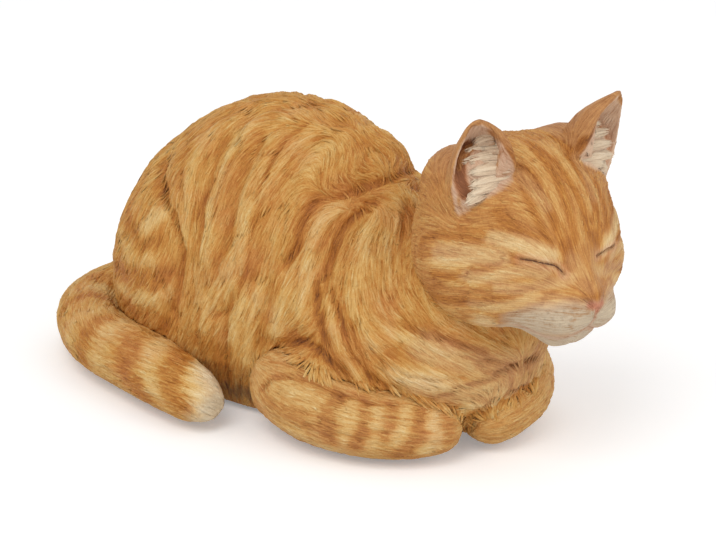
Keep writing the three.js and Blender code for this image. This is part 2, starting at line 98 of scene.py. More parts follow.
def value_noise(p, size, seed):
    """Smooth noise of about zero mean and unit spread at the points p."""
    q = p / size + seed * 17.31
    cell = np.floor(q).astype(np.int64)
    f = q - cell
    f = f * f * (3 - 2 * f)
    total = np.zeros(len(p))
    for corner in range(8):
        bit = np.array([corner & 1, (corner >> 1) & 1, (corner >> 2) & 1])
        k = cell + bit
        # Large primes shuffle the cell's numbers, so that each corner gets a height of its own.
        h = (k[:, 0] * 73856093) ^ (k[:, 1] * 19349663) ^ (k[:, 2] * 83492791) ^ (seed * 2654435761)
        h = (h ^ (h >> 13)) * 1274126177 & 0x7FFFFFFF
        h = (h ^ (h >> 16)) & 0xFFFF
        total += np.prod(np.where(bit, f, 1 - f), axis=1) * (h / 65535.0 - 0.5)
    return total * 6.0


def rows(text):
    """A table of lines or strokes: in each row any plain numbers, and then points such as 12,34."""
    table = []
    for row in text.strip().splitlines():
        words = row.split()
        points = [tuple(float(x) for x in word.split(",")) for word in words if "," in word]
        front = [float(word) for word in words if "," not in word]
        table.append((*front, points) if front else points)
    return table


def line_distance(v, line):
    """Distance of points from a line, and the line's direction there."""
    distance = np.full(len(v), 1e9)
    along = np.zeros_like(v)
    for a, b in zip(line[:-1], line[1:]):
        ab = b - a
        t = np.clip((v - a) @ ab / max(ab @ ab, 1e-9), 0, 1)
        d = np.linalg.norm(v - a - t[:, None] * ab, axis=1)
        closer = d < distance
        distance[closer] = d[closer]
        along[closer] = ab
    return distance, unit(along)


def dense(points, step):
    """The same line through more points, smoothed as a spline."""
    p = np.array(points, float)
    if len(p) < 3:
        count = max(int(np.linalg.norm(p[-1] - p[0]) / step), 1)
        return p[0] + (p[-1] - p[0]) * np.linspace(0, 1, count + 1)[:, None]
    q = np.vstack([2 * p[0] - p[1], p, 2 * p[-1] - p[-2]])
    out = []
    for i in range(1, len(q) - 2):
        count = max(int(np.linalg.norm(q[i + 1] - q[i]) / step), 1)
        for t in np.arange(count) / count:
            out.append(0.5 * (
                2 * q[i] + (q[i + 1] - q[i - 1]) * t
                + (2 * q[i - 1] - 5 * q[i] + 4 * q[i + 1] - q[i + 2]) * t**2
                + (3 * q[i] - 3 * q[i + 1] + q[i + 2] - q[i - 1]) * t**3
            ))
    return np.array(out + [p[-1]])


# Meshes of the castings, and the plugs that close their holes before they are skinned.
def mesh_of(bm, name):
    """Write a bmesh out as a mesh, and free it."""
    mesh = bpy.data.meshes.new(name)
    bm.to_mesh(mesh)
    bm.free()
    return mesh


def ball(centre, radii):
    """A round plug, in metres."""
    bm = bmesh.new()
    bmesh.ops.create_icosphere(bm, subdivisions=3, radius=0.001)
    for vert in bm.verts:
        vert.co = Vector(c * r + m / 1000 for c, r, m in zip(vert.co, radii, centre))
    return mesh_of(bm, "plug")


def block(low, high):
    """A square plug, in metres."""
    bm = bmesh.new()
    bmesh.ops.create_cube(bm, size=1)
    for vert in bm.verts:
        vert.co = Vector((l + (c + 0.5) * (h - l)) / 1000 for c, l, h in zip(vert.co, low, high))
    return mesh_of(bm, "plug")


def node_mesh(name, lift=0.0):
    """A copy of a CAD node's mesh with its doubles merged, raised by a few millimetres if asked."""
    bm = bmesh.new()
    bm.from_mesh(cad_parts[name].data)
    bmesh.ops.remove_doubles(bm, verts=bm.verts, dist=1e-6)
    bmesh.ops.translate(bm, verts=bm.verts, vec=(0, 0, lift / 1000))
    return mesh_of(bm, "casting")


def mesh_arrays(mesh):
    """Corners in millimetres, and faces of four, where a triangle has its last corner twice."""
    v = np.empty(len(mesh.vertices) * 3)
    mesh.vertices.foreach_get("co", v)
    total = np.empty(len(mesh.polygons), int)
    start = np.empty(len(mesh.polygons), int)
    corner = np.empty(len(mesh.loops), int)
    mesh.polygons.foreach_get("loop_total", total)
    mesh.polygons.foreach_get("loop_start", start)
    mesh.loops.foreach_get("vertex_index", corner)
    faces = np.stack([corner[start + np.minimum(k, total - 1)] for k in range(4)], 1)
    return v.reshape(-1, 3) * 1000, faces


def neighbour_table(faces, count, most=10):
    """The corners next to each corner, in rows that are filled up with the corner itself."""
    a = faces[:, [0, 1, 2, 3, 0, 1]].ravel()
    b = faces[:, [1, 2, 3, 0, 2, 3]].ravel()
    keep = a != b
    a, b = a[keep], b[keep]
    pairs = np.unique(np.concatenate([a * count + b, b * count + a]))
    source, other = pairs // count, pairs % count
    rank = np.arange(len(source)) - np.searchsorted(source, np.arange(count))[source]
    table = np.repeat(np.arange(count)[:, None], most, 1)
    keep = rank < most
    table[source[keep], rank[keep]] = other[keep]
    return table


def remeshed(meshes, grain):
    """One even skin round several closed meshes, as arrays, with their inner skins left out."""
    bm = bmesh.new()
    for mesh in meshes:
        bm.from_mesh(mesh)
    mesh = mesh_of(bm, "raw")
    raw = put("raw", mesh)
    modifier = raw.modifiers.new("skin", "REMESH")
    modifier.mode = "VOXEL"
    modifier.voxel_size = grain / 1000
    modifier.adaptivity = 0
    done = bpy.data.meshes.new_from_object(raw.evaluated_get(bpy.context.evaluated_depsgraph_get()))
    v, faces = mesh_arrays(done)
    bpy.data.objects.remove(raw)
    bpy.data.meshes.remove(done)
    bpy.data.meshes.remove(mesh)
    # The outer skin is all that hangs together with the highest corner.
    table = neighbour_table(faces, len(v))
    reached = np.zeros(len(v), bool)
    front = np.array([v[:, 2].argmax()])
    while len(front):
        reached[front] = True
        near = np.unique(table[front])
        front = near[~reached[near]]
    order = np.cumsum(reached) - 1
    return v[reached], order[faces[reached[faces[:, 0]]]]


class Skin:
    """A dense skin in millimetres, which sculpting moves and paints."""

    def __init__(self, meshes, grain):
        self.v, self.faces = remeshed(meshes, grain)
        self.grain = grain
        self.count = len(self.v)
        self.table = neighbour_table(self.faces, self.count)
        self.refresh()

    def refresh(self):
        """Find the normals of the corners again, after they have moved."""
        v, f = self.v, self.faces
        cross = np.cross(v[f[:, 2]] - v[f[:, 0]], v[f[:, 3]] - v[f[:, 1]])
        out = np.zeros_like(v)
        for axis in range(3):
            for k in range(4):
                out[:, axis] += np.bincount(f[:, k], cross[:, axis], self.count)
        self.n = unit(out)
        self.tree = None

    def blur(self, values, times):
        for _ in range(times):
            values = 0.4 * values + 0.6 * values[self.table].mean(1)
        return values

    def relax(self, times):
        self.v = self.blur(self.v, times)
        self.refresh()

    def bvh(self):
        if self.tree is None:
            self.tree = BVHTree.FromPolygons(self.v.tolist(), self.faces.tolist())
        return self.tree

    def snap(self, p):
        return np.array(self.bvh().find_nearest(Vector(p))[0])

    def at_pixel(self, x, y):
        """The point of the skin seen at a pixel of the photograph, or the nearest to it."""
        across, up = x - FRAME_W / 2, FRAME_H / 2 - y
        ray = unit(-BACK + RIGHT * across / FOCAL_PX + UP * up / FOCAL_PX)
        hit = self.bvh().ray_cast(Vector(EYE), Vector(ray))
        if hit[0] is not None:
            return np.array(hit[0])
        near = EYE + ray * DISTANCE
        for _ in range(12):
            on = self.snap(near)
            near = EYE + ray * np.dot(on - EYE, ray)
        return on

    def line(self, pixels, step=2.0):
        return dense([self.at_pixel(x, y) for x, y in pixels], step)

    def spread(self, line, reach):
        """How far each corner of the skin is from a line, for those within reach of it."""
        line = np.asarray(line)
        out = np.full(self.count, 1e9)
        low, high = line.min(0) - reach, line.max(0) + reach
        near = np.flatnonzero(((self.v > low) & (self.v < high)).all(1))
        out[near] = line_distance(self.v[near], line)[0]
        return out


# The lay of the fur, and the patterns that run along it.
STRIDE = 0.9  # the length of one step along the fur, in grains of the skin
COMB_EVERY = 30  # one corner in this many is combed, and the others follow the nearest
COMB_SOFTNESS = 30  # how gently one line gives way to the next, in square millimetres
COMB_BLUR = 14  # how far the combed lay is evened out
FOLD_SIZE, SMALL_FOLD_SIZE, SMALL_FOLD_SHARE = 11, 6, 0.4
LOCK_SIZE, LOCK_REACH = 4.2, 13
WISP_SIZE, WISP_REACH = 2.4, 9
STRAND_REACH = 8
RIDGE_MEAN = 0.6  # what the ridges come to on average
STRAND_HEIGHT = 0.15


def along_skin(flow, normals):
    """Directions pressed flat on the skin."""
    return unit(flow - normals * (flow * normals).sum(1, keepdims=True))


def comb(skin, lines, sharpness=1.6):
    """Lay the fur along lines: each corner gets a direction, from the hair's root to its tip."""
    few = np.arange(0, skin.count, COMB_EVERY)
    total = np.zeros((len(few), 3))
    tree = KDTree(len(few))
    for i, p in enumerate(skin.v[few]):
        tree.insert(p, i)
    tree.balance()
    for line in lines:
        distance, along = line_distance(skin.v[few], line)
        total += along / (distance[:, None] ** 2 + COMB_SOFTNESS) ** sharpness
    nearest = np.array([tree.find(p)[1] for p in skin.v])
    flow = along_skin(unit(total[nearest]), skin.n)
    for _ in range(int(COMB_BLUR / skin.grain)):
        flow = along_skin(skin.blur(flow, 1), skin.n)
    skin.flow = flow


def walk(skin, flow, steps):
    """For each corner, the corners met on the way along the flow."""
    here = np.arange(skin.count)
    every = np.arange(skin.count)
    v = skin.v.astype(np.float32)
    n = skin.n.astype(np.float32)
    flow = (flow * skin.grain * STRIDE).astype(np.float32)
    near = np.concatenate([skin.table, every[:, None]], 1)
    p = v.copy()
    way = []
    for _ in range(steps):
        p = p + flow[here]
        options = near[here]
        gap = v[options] - p[:, None, :]
        here = options[every, (gap * gap).sum(2).argmin(1)]
        off = p - v[here]
        p = v[here] + off - n[here] * (off * n[here]).sum(1, keepdims=True)
        way.append(here)
    return way


def streaked(skin, values, reach):
    """Values drawn out along the fur over a reach in millimetres each way, with unit spread."""
    steps = min(max(int(reach / (skin.grain * STRIDE)), 1), len(skin.ahead))
    total = values.copy()
    for k in range(steps):
        weight = math.cos((k + 1) / (steps + 1) * math.pi / 2)
        total += weight * (values[skin.ahead[k]] + values[skin.behind[k]])
    total -= total.mean()
    return total / total.std()


def grow(skin, seed, reach=22):
    """Streaks of four sizes that run along the fur: folds, locks, wisps and strands."""
    steps = int(reach / (skin.grain * STRIDE))
    skin.ahead = walk(skin, skin.flow, steps)
    skin.behind = walk(skin, -skin.flow, steps)
    folds = value_noise(skin.v, FOLD_SIZE, seed)
    folds = folds + SMALL_FOLD_SHARE * value_noise(skin.v, SMALL_FOLD_SIZE, seed + 1)
    strands = np.random.default_rng(seed).standard_normal(skin.count)
    skin.folds = streaked(skin, folds, reach)
    skin.locks = streaked(skin, value_noise(skin.v, LOCK_SIZE, seed + 2), LOCK_REACH)
    skin.strands = streaked(skin, strands, STRAND_REACH)
    skin.wisps = streaked(skin, value_noise(skin.v, WISP_SIZE, seed + 3), WISP_REACH)


def feathered(skin, mask, strength=1.0):
    """A mask whose edges break up into single locks, as each lock carries its colour along."""
    steps = len(skin.ahead)
    pick = np.clip(skin.wisps * 2.0 + skin.strands * 1.2, -5, 5) * strength
    k = np.clip(np.round(pick / (skin.grain * STRIDE)).astype(int), -steps, steps)
    out = mask.copy()
    for i in range(1, steps + 1):
        for chosen, way in ((k == i, skin.ahead[i - 1]), (k == -i, skin.behind[i - 1])):
            out[chosen] = mask[way[chosen]]
    return skin.blur(out, 1)


def ridged(x, width=0.4):
    """Rounded ridges with a narrow valley between them, where x is about zero."""
    return 1 - np.exp(-(x / width) ** 2)


def paint(skin, strokes, mirror=None):
    """The strongest of several soft strokes, each (width, strength, pixels)."""
    mask = np.zeros(skin.count)
    for width, strength, pixels in strokes:
        line = skin.line(pixels)
        lines = [line]
        if mirror is not None:
            lines.append(np.array([skin.snap(p) for p in mirror(line)]))
        for one in lines:
            distance = skin.spread(one, width)
            mask = np.maximum(mask, strength * (1 - fade(distance, width * 0.25, width)))
    return mask


def press(skin, points, width, depth):
    """Press a soft groove along a line, or raise a ridge if the depth is negative."""
    distance = skin.spread(points, width * 3)
    skin.v = skin.v - skin.n * (depth * np.exp(-((distance / width) ** 2)))[:, None]


def press_both(skin, pixels, width, depth, mirror):
    """The same groove on both sides."""
    line = skin.line(pixels)
    press(skin, line, width, depth)
    press(skin, [skin.snap(p) for p in mirror(line)], width, depth)


def swell(skin, centre, radius, height):
    distance = np.linalg.norm(skin.v - centre, axis=1)
    skin.v = skin.v + skin.n * (height * (1 - fade(distance, 0, radius)))[:, None]


def swell_both(skin, swells, mirror):
    """Full or hollow places on both sides, each (radius, height, pixel)."""
    for radius, height, (x, y) in swells:
        centre = skin.at_pixel(x, y)
        swell(skin, centre, radius, height)
        swell(skin, skin.snap(mirror(centre)), radius, height)
    skin.refresh()


def carve(skin, folds, locks, where):
    """Carve folds and locks of these heights, and the strands, where the mask allows it."""
    relief = folds * (ridged(skin.folds) - RIDGE_MEAN) + locks * (ridged(skin.locks) - RIDGE_MEAN)
    relief = relief + STRAND_HEIGHT * np.clip(skin.strands, -2, 2)
    skin.v = skin.v + skin.n * (relief * where)[:, None]


def tone_of(skin, pale, dark, creases):
    """How light the paint is, from 0 in the creases to 1 on the brushed tips."""
    tone = 0.5 + 0.17 * pale - 0.16 * dark
    tone += 0.015 * np.clip(skin.folds, -2, 2) + 0.02 * np.clip(skin.strands, -2.5, 2.5)
    tone += 0.015 * np.clip(skin.wisps, -2, 2)
    valleys = 0.09 * (1 - ridged(skin.folds, 0.2)) + 0.04 * (1 - ridged(skin.locks, 0.2))
    tone -= valleys + 0.18 * creases
    return np.clip(tone, 0, 1)


# Carved locks of fur.
LOCK_DEPTH = 1.8  # a lock goes this much further into the skin than it stands out
LOCK_ROUNDNESS = 0.35  # how round a lock looks across
TIP_LIGHT, TOP_LIGHT, SIDE_DARK, ALL_LIGHT = 0.10, 0.05, 0.04, 0.02
ROOT_SUNK, MIDDLE_SUNK, TIP_LIFTED = 0.35, 0.08, 0.12
LOCK_TONES = 0.022  # how much the locks differ in tone
LOCK_THICKNESS = 0.6


def lock_shape():
    """A small sphere of few faces, which each lock of fur stretches along its way."""
    bm = bmesh.new()
    bmesh.ops.create_uvsphere(bm, u_segments=4, v_segments=4, radius=1)
    bm.verts.index_update()
    corners = np.array([v.co for v in bm.verts])
    faces = [[v.index for v in f.verts] for f in bm.faces]
    bm.free()
    return corners, np.array([f if len(f) == 4 else f + f[-1:] for f in faces])


def three_way(values, t):
    """Values at root, middle and tip, drawn out evenly between them."""
    a, b, c = (value[:, None] for value in values)
    if a.ndim == 2:
        t = t[..., 0]
    return np.where(t < 0.5, a + (b - a) * t * 2, b + (c - b) * (t * 2 - 1))


def make_locks(name, root, middle, tip, out, width, thick, given, slot, material):
    """Locks on curves from root to tip, with the outward side and the paint at those places."""
    corners, faces = lock_shape()
    count = len(root)
    across, high = corners[None, :, 0:1], corners[None, :, 1:2]
    t = ((1 - corners[:, 2]) / 2)[None, :, None]
    bend = 2 * middle - (root + tip) / 2
    root, bend, tip = root[:, None], bend[:, None], tip[:, None]
    path = (1 - t) ** 2 * root + 2 * t * (1 - t) * bend + t**2 * tip
    along = unit(2 * (1 - t) * (bend - root) + 2 * t * (tip - bend))
    up = three_way(out, t)
    side = unit(np.cross(along, up))
    up = unit(np.cross(side, along))
    rise = np.where(high < 0, LOCK_DEPTH, 1) * high
    section = side * across + up * rise * (thick / width)[:, None, None]
    v = path + section * (width / 2)[:, None, None]
    n = unit(unit(side * across + up * high - along * corners[None, :, 2:3]) * LOCK_ROUNDNESS + up)
    values = {key: three_way(value, t) for key, value in given.items()}
    brushed = TIP_LIGHT * (t[..., 0] - 0.5) + TOP_LIGHT * high[..., 0]
    brushed = brushed - SIDE_DARK * np.abs(across[..., 0])
    values["tone"] = np.clip(values["tone"] + brushed + ALL_LIGHT, 0, 1)
    values["lay"] = along
    every = (faces[None] + np.arange(count)[:, None, None] * len(corners)).reshape(-1, 4)
    flat = {k: a.reshape(-1, 3) if a.ndim == 3 else a.ravel() for k, a in values.items()}
    return make_piece(name, v.reshape(-1, 3), every, n.reshape(-1, 3), flat, (), material)


def cover(name, skin, count, seed, where, length, width, lift, values, slot, material):
    """Cover a part of the skin with carved locks that follow the lay of its fur."""
    random = np.random.default_rng(seed)
    root = random.choice(skin.count, count, p=where / where.sum())
    reach = length * random.uniform(0.7, 1.3, count)
    steps = np.clip((reach / (skin.grain * STRIDE)).astype(int), 2, len(skin.ahead))
    way = np.array(skin.ahead)
    middle, tip = way[steps // 2 - 1, root], way[steps - 1, root]
    side = unit(np.cross(skin.flow[tip], skin.n[tip]))
    size = width * random.uniform(0.7, 1.3, count)
    high = lift * random.uniform(0.4, 1.4, count)
    astray = random.normal(0, 0.5, count) * size
    places = [
        skin.v[root] - skin.n[root] * ROOT_SUNK * size[:, None],
        skin.v[middle] - skin.n[middle] * MIDDLE_SUNK * size[:, None],
        skin.v[tip] + skin.n[tip] * (TIP_LIFTED * high)[:, None] + side * astray[:, None],
    ]
    corners = (root, middle, tip)
    given = {key: [values[key][at] for at in corners] for key in ("tone", "shade", "cream", "pink")}
    shift = random.normal(0, LOCK_TONES, count)
    given["tone"] = [tone + shift for tone in given["tone"]]
    out = [skin.n[at] for at in corners]
    return make_locks(name, *places, out, size, size * LOCK_THICKNESS, given, slot, material)


def make_piece(name, v, faces, n, values, nodes, material):
    """A finished piece, with smooth faces and its paint as attributes."""
    used = np.zeros(len(v), bool)
    used[faces.ravel()] = True
    order = np.cumsum(used) - 1
    quads = order[faces]
    mesh = bpy.data.meshes.new(name)
    whole = quads[quads[:, 2] != quads[:, 3]]
    three = quads[quads[:, 2] == quads[:, 3]][:, :3]
    mesh.from_pydata((v[used] / 1000).tolist(), [], whole.tolist() + three.tolist())
    mesh.polygons.foreach_set("use_smooth", np.ones(len(mesh.polygons), bool))
    for key, value in values.items():
        kind, field = ("FLOAT", "value") if value.ndim == 1 else ("FLOAT_VECTOR", "vector")
        layer = mesh.attributes.new(key, kind, "POINT").data
        layer.foreach_set(field, value[used].astype(np.float32).ravel())
    mesh.normals_split_custom_set_from_vertices(n[used].tolist())
    piece = put(name, mesh)
    mesh.materials.append(material)
    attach(piece, "root")
    if nodes:
        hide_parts(*nodes)
    return piece


# Finishes.
def linear(c):
    c = c / 255
    return c / 12.92 if c <= 0.04045 else ((c + 0.055) / 1.055) ** 2.4


def painted(colour):
    """A colour written as it looks, from 0 to 255, for a shader."""
    return (*[linear(c) for c in colour], 1)


def add_node(tree, kind, inputs, **settings):
    """A shader node with its settings, and its inputs as values or as links from other nodes."""
    node = tree.nodes.new("ShaderNode" + kind)
    for key, value in settings.items():
        setattr(node, key, value)
    for key, value in inputs.items():
        if isinstance(value, bpy.types.NodeSocket):
            tree.links.new(value, node.inputs[key])
        else:
            node.inputs[key].default_value = value
    return node


def maths(tree, operation, *terms):
    return add_node(tree, "Math", dict(enumerate(terms)), operation=operation).outputs[0]


def attribute(tree, key, output="Fac"):
    return add_node(tree, "Attribute", {}, attribute_name=key).outputs[output]


def ramp(tree, source, stops):
    """Paints that follow each other from dark to light, each at its place between 0 and 1."""
    node = add_node(tree, "ValToRGB", {"Fac": source})
    elements = node.color_ramp.elements
    while len(elements) < len(stops):
        elements.new(0.5)
    for element, (at, colour) in zip(elements, stops):
        element.position = at
        element.color = painted(colour)
    return node.outputs["Color"]


def mix(tree, factor, a, b):
    inputs = {"Factor": factor, "A": a, "B": b}
    return add_node(tree, "Mix", inputs, data_type="RGBA").outputs["Result"]


def new_material(name, inputs):
    """A material, its nodes, and its shader with these inputs."""
    material = bpy.data.materials.new(name)
    material.use_nodes = True
    tree = material.node_tree
    shader = tree.nodes["Principled BSDF"]
    for key, value in inputs.items():
        shader.inputs[key].default_value = value
    return material, tree, shader


def finish(tree, shader, colour, height, strength, distance):
    """Give a shader its colour, and a fine relief."""
    inputs = {"Height": height, "Strength": strength, "Distance": distance}
    bump = add_node(tree, "Bump", inputs)
    tree.links.new(colour, shader.inputs["Base Color"])
    tree.links.new(bump.outputs["Normal"], shader.inputs["Normal"])


# The paints of the fur, from the creases to the brushed tips.
GINGER = [
    (0.0, (106, 59, 21)), (0.2, (157, 95, 34)), (0.38, (186, 121, 48)), (0.52, (202, 147, 73)),
    (0.68, (217, 174, 104)), (0.85, (229, 198, 138)), (1.0, (241, 220, 176)),
]
RUSSET = [
    (0.0, (108, 54, 22)), (0.3, (174, 102, 47)), (0.52, (201, 136, 76)), (0.8, (219, 174, 119)),
    (1.0, (238, 212, 176)),
]
CREAM = [
    (0.0, (150, 92, 44)), (0.14, (170, 128, 86)), (0.3, (190, 170, 144)), (0.6, (218, 200, 168)),
    (1.0, (242, 230, 204)),
]
ROSE = [
    (0.0, (140, 84, 56)), (0.3, (196, 130, 100)), (0.6, (220, 170, 146)), (1.0, (238, 200, 182)),
]
# The dark paint of the face's drawn lines, also used as painted shadow low on the belly.
SHADE_AND_INK = (74, 50, 44)
HAIR_CONTRAST = 0.09
HAIR_PAINT = 0.11  # how much the fine hairs change the tone


def fur_material(name, redness=188):
    """Dry-brushed fur, with fine hairs along its lay and soft russet patches."""
    material, tree, shader = new_material(name, {"Roughness": 0.62, "Specular IOR Level": 0.3})
    coords = add_node(tree, "TexCoord", {}).outputs["Object"]
    lay = attribute(tree, "lay", "Vector")

    def strands(scale, step, count):
        """Hairs from about -1 to 1: a noise averaged over several places along the lay."""
        total = 0.0
        for k in range(count):
            terms = {0: lay, 1: (step * (k - (count - 1) / 2),) * 3, 2: coords}
            place = add_node(tree, "VectorMath", terms, operation="MULTIPLY_ADD").outputs[0]
            noise = add_node(tree, "TexNoise", {"Vector": place, "Scale": scale, "Detail": 0})
            total = maths(tree, "ADD", noise.outputs["Fac"], total)
        total = maths(tree, "SUBTRACT", total, count * 0.5)
        return maths(tree, "DIVIDE", total, count * HAIR_CONTRAST)

    fine = strands(1500, 0.00065, 10)
    broad = strands(650, 0.0014, 8)
    hairs = maths(tree, "MULTIPLY_ADD", broad, 0.5, fine)
    tone = maths(tree, "MULTIPLY_ADD", hairs, HAIR_PAINT, attribute(tree, "tone"))
    patches = add_node(tree, "TexNoise", {"Vector": coords, "Scale": 45}).outputs["Fac"]
    share = ramp(tree, patches, [(0.45, (0, 0, 0)), (0.7, (redness,) * 3)])
    colour = mix(tree, share, ramp(tree, tone, GINGER), ramp(tree, tone, RUSSET))
    colour = mix(tree, attribute(tree, "cream"), colour, ramp(tree, tone, CREAM))
    colour = mix(tree, attribute(tree, "pink"), colour, ramp(tree, tone, ROSE))
    # Dark ink on the face's lines, and painted shadow along the belly's bottom edge.
    colour = mix(tree, attribute(tree, "shade"), colour, painted(SHADE_AND_INK))
    finish(tree, shader, colour, hairs, 0.6, 0.00025)
    return material


# The body. Lines on the photograph that its fur follows, from root to tip.
BODY_FLOW = rows("""
412,165 380,135 340,112 300,100 250,98 215,112 180,140 150,170 128,205
412,175 385,178 355,186 325,200 300,225 284,262 272,300 260,350
345,128 305,148 275,178 252,215 240,255 226,300 205,345
262,104 228,128 205,162 194,205 188,250 182,290 176,320
418,190 405,215 398,250 394,285
410,188 382,205 358,232 342,268 334,305 330,335
300,230 285,270 268,310 248,350 240,385
250,240 232,275 212,310 196,340
190,150 168,178 152,205 140,235 130,262 122,290
176,232 170,260 156,290 142,315
150,262 140,285 126,305
310,335 288,345 270,365 262,388
345,300 352,335 368,368 392,392
402,300 425,330 460,352 500,368 535,372
385,330 415,350 460,375 500,382 540,380
380,365 410,385 445,395 485,400 520,395
395,400 430,410 470,413 505,408
560,352 555,370 548,392
330,345 350,370 380,395
240,360 236,380 240,392
""")
# Soft strokes of paint: width in millimetres, strength, and where they run in the photograph.
BODY_PALE = rows("""
7 0.9 300,112 280,130 264,157 252,180 244,204 240,232
7 0.8 328,128 304,146 282,170 262,202 249,231 245,252
6 0.6 345,135 322,152 306,176
8 0.9 339,203 323,213 311,237 307,262 303,285 300,310
6 0.6 374,211 367,237 364,264 358,290
7 0.8 398,205 391,235 394,264 398,285
7 0.9 252,125 237,142 222,167 214,186 208,208 208,232 204,255
6 0.7 214,130 200,148 191,168 187,190 186,222 187,244
7 0.8 268,150 256,175 248,208 244,242 236,270 226,292
6 0.7 172,140 158,160 150,180
8 1 163,214 152,222 144,230
6 0.8 121,232 126,250 138,261 153,262
6 0.7 112,285 126,294 150,299 168,294
7 0.8 232,250 222,280 208,305 200,325
8 1 242,296 234,315 232,340
7 0.8 262,290 256,315 252,340 250,362
7 0.8 290,270 284,300 276,330
8 1.1 317,368 330,378 345,386 365,396
7 0.8 325,300 333,322 345,345 362,372
6 0.7 352,300 362,325 378,350
8 0.9 395,330 420,342 450,350
9 1 392,372 420,377 455,383 485,385
6 1 438,410 462,409 482,402 488,395
6 0.8 538,375 530,385 522,398
7 0.7 548,362 546,380 548,395
8 0.6 465,425 485,428 500,424
""")
BODY_DARK = rows("""
5 0.8 312,104 290,122 272,146 258,170 249,196
6 0.8 340,120 318,138 294,160 274,190 263,218 257,250 252,275
8 0.6 352,184 322,197 304,216 296,242 284,268 276,292
6 0.3 412,172 392,179 370,185 350,191
16 0.35 402,162 372,142 340,126
7 0.6 376,200 350,220 335,248 323,276 316,300
6 0.8 408,205 402,228 398,262 400,285
6 0.9 226,140 215,178 203,205 203,232 198,262
6 0.7 192,138 183,160 180,185
7 0.8 258,138 243,172 234,205 229,240 218,268
7 0.9 165,160 160,182 166,198
7 1 127,214 134,232 146,243 160,241
8 1 114,266 130,276 150,280 168,272
8 1 114,302 132,310 155,318 172,325
8 0.8 196,338 208,345 222,352
9 0.9 225,350 222,365 226,378
7 0.8 272,290 266,318 262,345
8 0.8 272,352 288,342 308,344 324,356
7 0.9 256,386 280,377 306,376 322,381 340,391
6 0.9 320,300 326,335 340,365
7 0.9 342,310 352,345 366,372 382,392 402,400
6 0.7 385,360 400,352 418,350
7 0.9 412,322 440,340 470,352 500,362 520,366
7 0.9 520,366 540,358 556,350
7 0.8 524,390 536,382 548,378
7 0.8 430,404 455,398 480,392 500,388
8 0.6 505,385 512,405 518,418
""")
BODY_CREAM = rows("""
13 0.2 425,348 465,360 515,366 550,358
12 0.2 415,382 455,392 500,392 545,380
9 0.2 300,395 285,380 290,366
8 0.08 160,215 148,226
""")
# A painted shadow along the bottom edge of the belly, where it meets the ground.
BODY_SHADE = [(7, 0.6, [(228, 388), (240, 391), (254, 393)])]
# Creases between the rolls of fur: width and depth, and where they run.
BODY_CREASES = rows("""
2.6 3.6 158,150 163,186 174,216 182,242 183,263 178,290 174,312
2.2 1 412,172 392,179 366,186 340,197 316,203
2.6 2.4 316,203 303,224 298,244 286,268
2.4 2.2 376,204 347,224 334,251 324,278
2.4 2.6 316,282 319,324 327,345
2.6 2.8 331,291 341,324 349,350 365,373 387,389 410,402
2.6 3 276,352 295,342 318,350 338,369 349,380
2.4 2.6 262,383 287,377 318,380 341,391 362,399
2.2 1.6 308,122 286,140 268,168 256,200
2.2 1.6 264,196 250,236 246,270 236,296
2.2 1.6 215,180 204,204 204,230
2.2 1.8 234,296 228,313 226,338
2.2 1.4 199,309 197,335
2.4 2 392,323 415,332 450,342 486,352
2.4 2.2 411,411 440,415 478,412 492,400
2.2 1.6 394,402 425,400 455,392
2.4 1.8 502,372 530,362 556,354
2.2 1.4 510,392 535,382 552,378
""")
# Full places: radius, height, and where their middle lies.
BODY_SWELLS = [
    (34, 4.0, (146, 262)), (26, 2.5, (222, 260)), (24, 3.0, (300, 368)), (30, 2.0, (440, 375)),
]
BODY_MIDDLE_Y = 12.47
CREASE_DEPTH = 0.6  # the share of a crease's depth that the relief adds to the casting's own
CREASE_PAINT = 1.3  # how much wider than the crease its dark paint is
PALE_RIDGE, DARK_GROOVE, STROKE_WIDTH = 0.9, -0.6, 0.6
BODY_RELIEF = 1.3, 0.6  # height of the folds and of the locks
BODY_LOCKS = 11.5, 1.2, 0.5  # length, width and lift of the single locks
COAT_SPLIT, REAR_END, MIDDLE_END = -12, -52, 16  # where one piece of the coat or locks ends
UNDERSIDE = 2.0  # the fur ends this far above the ground


def mirror_body(line):
    return line * [1, -1, 1] + [0, 2 * BODY_MIDDLE_Y, 0]


